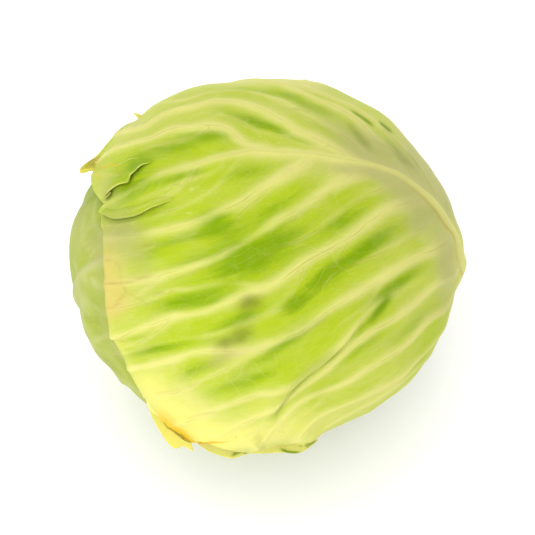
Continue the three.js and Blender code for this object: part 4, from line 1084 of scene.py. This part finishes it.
def ruled_leaf(name, node_name, turn, tip, foot, width, count, bow, seed, left=False):
    """One of the under leaves, laid under the leaves made before it. Its midrib runs at `turn` degrees round
    the stalk's axis and sways by `bow`. It reaches `tip` and `foot` degrees up and down from its middle and
    `width` to each side, with `count` side veins in each half. The left-hand leaf also has what the
    photograph shows of it."""
    leaf_map = map_around(turn)
    draw = seeded(seed)
    wings = [ruled_veins(side, tip, foot, width, count, bow, draw) for side in (1, -1)]
    heights = [LEAF_FOOT, -55, -20, 15, 50, tip]
    rib = course([(0 if k == 0 else bow * math.sin(k * 0.9), y) for k, y in enumerate(heights)])
    grid = leaf_grid(rib, wings, 12, 60, RULED_RIB_WIDTH)
    xy = grid[0].reshape(-1, 2)
    u = grid[3].ravel()
    direction = direction_of(leaf_map, xy)
    deep = covered(direction)
    room, from_rib, share, _ = rib_room(xy, direction, rib, RULED_ROOM, RULED_RIB_ROOM)
    rib_width = from_to(RULED_RIB_WIDTH, share)
    crest = from_to(RULED_RIB_HEIGHT, share ** 0.7)
    height, pale, thread, near = vein_field(xy, wings[0] + wings[1], [])
    up = np.hypot(crest * np.exp(-((from_rib / (0.62 * rib_width)) ** 2)), VEIN_HEIGHT * height)
    up += 0.35 * (1 - pale) * ripple(direction, 26, seed)
    if left:
        photo_xy = map_of(PHOTO_MAP, direction)
        up += fold_height(photo_xy, LEFT_FOLDS)
        lines = vein_field(photo_xy, [], [(s, pixels(p)) for s, p in LEFT_LINES])[1]
        pale = np.maximum(pale * (1 - 0.5 * smoothstep(direction @ TO_EYE, -0.3, 0)), 1.1 * lines)
    rest = smoothstep(-direction[:, 2], *PRESSED_FLAT)
    up = np.minimum(up * (1 - rest) + room * rest, room + 1.5 * (1 - rest))
    pixel = pixel_of(direction)
    shown = shown_in_photo(direction)
    yellow = spots_at(pixel, YELLOW_SPOTS[:1]) * shown
    masks = {
        "pale": np.clip(np.maximum(pale, np.exp(-((from_rib / (0.75 * rib_width)) ** 2))), 0, 1),
        "thread": thread,
        "near": near,
        "rib_shade_and_cracks": np.zeros(len(xy)),
        "crease_shade": np.zeros(len(xy)),
        "tan": np.zeros(len(xy)),
        "deep": 0.35 + 0.8 * ripple(direction, 30, seed + 1),
        "yellow": yellow * 0.5 + 0.3 * smoothstep(u, 0.93, 1),
        "rust": 0.25 * smoothstep(u, 0.97, 1),
        "bruise_and_shade": np.maximum(ripple(direction, 60, seed + 2) - 0.75, 0),
        "dull_and_limb_shade": 0.35 + 0.25 * ripple(direction, 22, seed + 4) + spots_at(pixel, DULL_AND_LIMB_SHADE_SPOTS) * shown * 0.5,
    }
    leaf_shell(name, leaf_map, grid, deep + room, up, blade_at(u), masks, under_material,
               node_name=node_name)
    layers.append((leaf_map, margin_of(wings), rib, RULED_ROOM, RULED_RIB_ROOM))


ruled_leaf("back_leaf", "leaf_back", turn=-158, tip=106, foot=74, width=92, count=9, bow=4, seed=7, left=True)
ruled_leaf("upper_leaf", "leaf_upper", turn=104, tip=86, foot=72, width=74, count=8, bow=-4, seed=19)
ruled_leaf("lower_leaf", "leaf_lower", turn=-78, tip=84, foot=72, width=72, count=8, bow=3, seed=31)

# The heart: the tight head of inner leaves. Only a little of it shows, round the stalk, where the wrapper
# leaves part. It has a socket for the stalk.
HEART_GAP = 1.2  # between the heart and the leaves on it
STALK_CONE = 12  # degrees from the stalk's axis to its side, seen from the head's centre
STALK_END = 79  # from the head's centre to the cut
STALK_ROOT = 44  # from there to the stalk's inner end
SOCKET = math.radians(STALK_CONE + 0.7)
SOCKET_RINGS = 6
SOCKET_GAP = 1  # between its floor and the stalk
turns = np.linspace(0, math.tau, 241)
leans = np.concatenate([np.linspace(0, SOCKET, SOCKET_RINGS), np.linspace(SOCKET, math.pi, 160)])
lean, turn = np.meshgrid(leans, turns[:-1], indexing="ij")


def beside_stalk(turn):
    """Directions square to the stalk's axis, at turns round it."""
    return FACE_SIDE * np.cos(turn)[..., None] + UP * np.sin(turn)[..., None]


heart_direction = STALK_AXIS * np.cos(lean)[..., None] + beside_stalk(turn) * np.sin(lean)[..., None]
flat = heart_direction.reshape(-1, 3)
heart_points = place_on_layer(flat, covered(flat) + HEART_GAP).reshape(heart_direction.shape)
socket_floor = (STALK_ROOT - SOCKET_GAP) / np.cos(lean[:SOCKET_RINGS])
heart_points[:SOCKET_RINGS] = HEAD_PLACE + heart_direction[:SOCKET_RINGS] * socket_floor[..., None]


def make_round(name, points, masks):
    """A closed round body from rings of points between two poles, each pole one point."""
    rings, count = points.shape[:2]
    body = points[1:-1].reshape(-1, 3)
    poles = np.stack([points[0].mean(0), points[-1].mean(0)])
    index = np.arange((rings - 2) * count).reshape(rings - 2, count)
    after = np.roll(index, -1, 1)
    quads = np.stack([index[:-1], index[1:], after[1:], after[:-1]], 2).reshape(-1, 4)
    first = len(body)
    top = np.stack([np.full(count, first), index[0], after[0]], 1)
    bottom = np.stack([np.full(count, first + 1), after[-1], index[-1]], 1)
    mesh = bpy.data.meshes.new(name)
    vertices = np.concatenate([body, poles]) * MILLIMETRE
    mesh.from_pydata(vertices, [], [*quads.tolist(), *top.tolist(), *bottom.tolist()])
    mesh.polygons.foreach_set("use_smooth", np.ones(len(mesh.polygons), bool))
    for key, values in masks.items():
        layer = mesh.attributes.new(key, "FLOAT", "POINT")
        full = np.concatenate([values[1:-1].ravel(), [values[0].mean(), values[-1].mean()]])
        layer.data.foreach_set("value", full.astype(np.float32))
    piece = bpy.data.objects.new(name, mesh)
    bpy.context.scene.collection.objects.link(piece)
    return piece


heart_masks = {"pale": 0.5 + 0.3 * ripple(flat, 20, 51).reshape(lean.shape)}
heart = make_round("heart_body", heart_points, heart_masks)


def plain_material(name, first, second, pale, scale, roughness):
    """A natural surface of two tones, mottled by noise, paler by its mask."""
    material = bpy.data.materials.new(name)
    material.use_nodes = True
    tree = material.node_tree
    shader = tree.nodes["Principled BSDF"]
    place = tree.nodes.new("ShaderNodeTexCoord").outputs["Object"]
    mottle = noise(tree, place, scale, 5)
    grain = noise(tree, place, scale * 9, 3)
    base = mixed(tree, ramp(tree, mottle, 0.3, 0.7), first, second)
    base = mixed(tree, maths(tree, "MULTIPLY", mask(tree, "pale"), 0.7), base, pale)
    tree.links.new(base, shader.inputs["Base Color"])
    tree.links.new(maths(tree, "MULTIPLY_ADD", mottle, 0.2, roughness), shader.inputs["Roughness"])
    bump = tree.nodes.new("ShaderNodeBump")
    bump.inputs["Strength"].default_value = 0.5
    bump.inputs["Distance"].default_value = 0.0006
    tree.links.new(grain, bump.inputs["Height"])
    tree.links.new(bump.outputs["Normal"], shader.inputs["Normal"])
    return material


heart.data.materials.append(plain_material(
    "heart_blade", colour(196, 212, 120), colour(214, 224, 150), colour(236, 240, 190), 60, 0.4))
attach(heart, "root")
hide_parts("heart")

# The stalk: a woody stump that all the leaves grow from, cut off flat, dried and browned at the cut.
STALK_TURNS = 96
STALK_SLOPE = math.tan(math.radians(STALK_CONE))
CUT_DEPTH = 1.2  # of the cut's browned face, from the stalk's end
WOOD_RING = (11.5, 1.6)  # radius and half width of the woody ring in the cut
profile = [(0.0, STALK_ROOT), (7.0, STALK_ROOT), (STALK_ROOT * STALK_SLOPE, STALK_ROOT + 2)]
profile += [(h * STALK_SLOPE, h) for h in np.linspace(STALK_ROOT + 4, STALK_END - 1.5, 24)]
profile += [(STALK_END * STALK_SLOPE - 0.5, STALK_END - 0.5), (STALK_END * STALK_SLOPE - 1.6, STALK_END)]
profile += [(r, STALK_END - 0.5 * (1 - (r / 15) ** 2)) for r in np.linspace(14.6, 0, 22)]
radius = np.array([p[0] for p in profile])[:, None]
height = np.array([p[1] for p in profile])[:, None]
turn = np.linspace(0, math.tau, STALK_TURNS, endpoint=False)[None, :]
scar = 1 - 0.03 * (1 + np.sin(5 * turn + 0.12 * height)) - 0.012 * (1 + np.sin(13 * turn - 0.2 * height))
cut = (height > STALK_END - CUT_DEPTH) * np.ones_like(turn)
rings = 0.25 * np.sin(radius * 2.6) * cut
radial = (radius * scar)[..., None]
stalk_points = (HEAD_PLACE + STALK_AXIS * (height + rings * (radius > 1))[..., None]
                + beside_stalk(turn) * radial)
woody = np.exp(-(((radius - WOOD_RING[0]) / WOOD_RING[1]) ** 2)) * cut
stalk = make_round("stalk_stump", stalk_points, {"pale": np.clip(0.15 + 0.75 * cut - 0.9 * woody, 0, 1)})
stalk.data.materials.append(plain_material(
    "stalk_cut", colour(190, 178, 112), colour(170, 150, 88), colour(232, 226, 186), 90, 0.55))
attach(stalk, "root")
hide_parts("stalk")

# The floor: a plain pale surface that the head lies on.
bpy.ops.mesh.primitive_plane_add(size=6, location=(0, 0, 0))
floor_plane = bpy.context.object
floor_plane.name = "floor"
floor_material = bpy.data.materials.new("floor_white")
floor_material.use_nodes = True
floor_shader = floor_material.node_tree.nodes["Principled BSDF"]
floor_shader.inputs["Base Color"].default_value = (0.93, 0.93, 0.93, 1)
floor_shader.inputs["Roughness"].default_value = 0.9
floor_plane.data.materials.append(floor_material)


# The light: a broad soft box from the front left, a weaker one from above, and an even pale room.
def softbox(name, place, size, power):
    """A square lamp that faces the head."""
    lamp = bpy.data.lights.new(name, "AREA")
    lamp.size = size
    lamp.energy = power
    box = bpy.data.objects.new(name, lamp)
    bpy.context.scene.collection.objects.link(box)
    box.location = place
    aim = Vector(HEAD_PLACE * MILLIMETRE) - box.location
    box.rotation_euler = aim.to_track_quat("-Z", "Y").to_euler()


softbox("key", (-0.9, -1.5, 0.8), 1.4, 19)
softbox("top", (-0.3, 0.5, 1.7), 1.4, 7)
world = bpy.data.worlds.new("room")
world.use_nodes = True
world.node_tree.nodes["Background"].inputs["Color"].default_value = (1, 1, 1, 1)
world.node_tree.nodes["Background"].inputs["Strength"].default_value = 1.18
bpy.context.scene.world = world
bpy.context.scene.view_settings.view_transform = "Standard"

# The camera: the photograph's view, from high in front, with a long lens.
IMAGE_WIDTH = 535
SENSOR_WIDTH = 36
camera_data = bpy.data.cameras.new("camera")
camera_data.sensor_width = SENSOR_WIDTH
camera_data.lens = SENSOR_WIDTH * EYE_DISTANCE / (IMAGE_WIDTH * PIXEL)
camera_data.clip_end = 20
camera = bpy.data.objects.new("camera", camera_data)
bpy.context.scene.collection.objects.link(camera)
eye = (HEAD_PLACE + TO_EYE * EYE_DISTANCE) * MILLIMETRE
turned = Matrix((RIGHT, UP, TO_EYE)).transposed().to_4x4()
camera.matrix_world = Matrix.Translation(eye) @ turned
bpy.context.scene.camera = camera
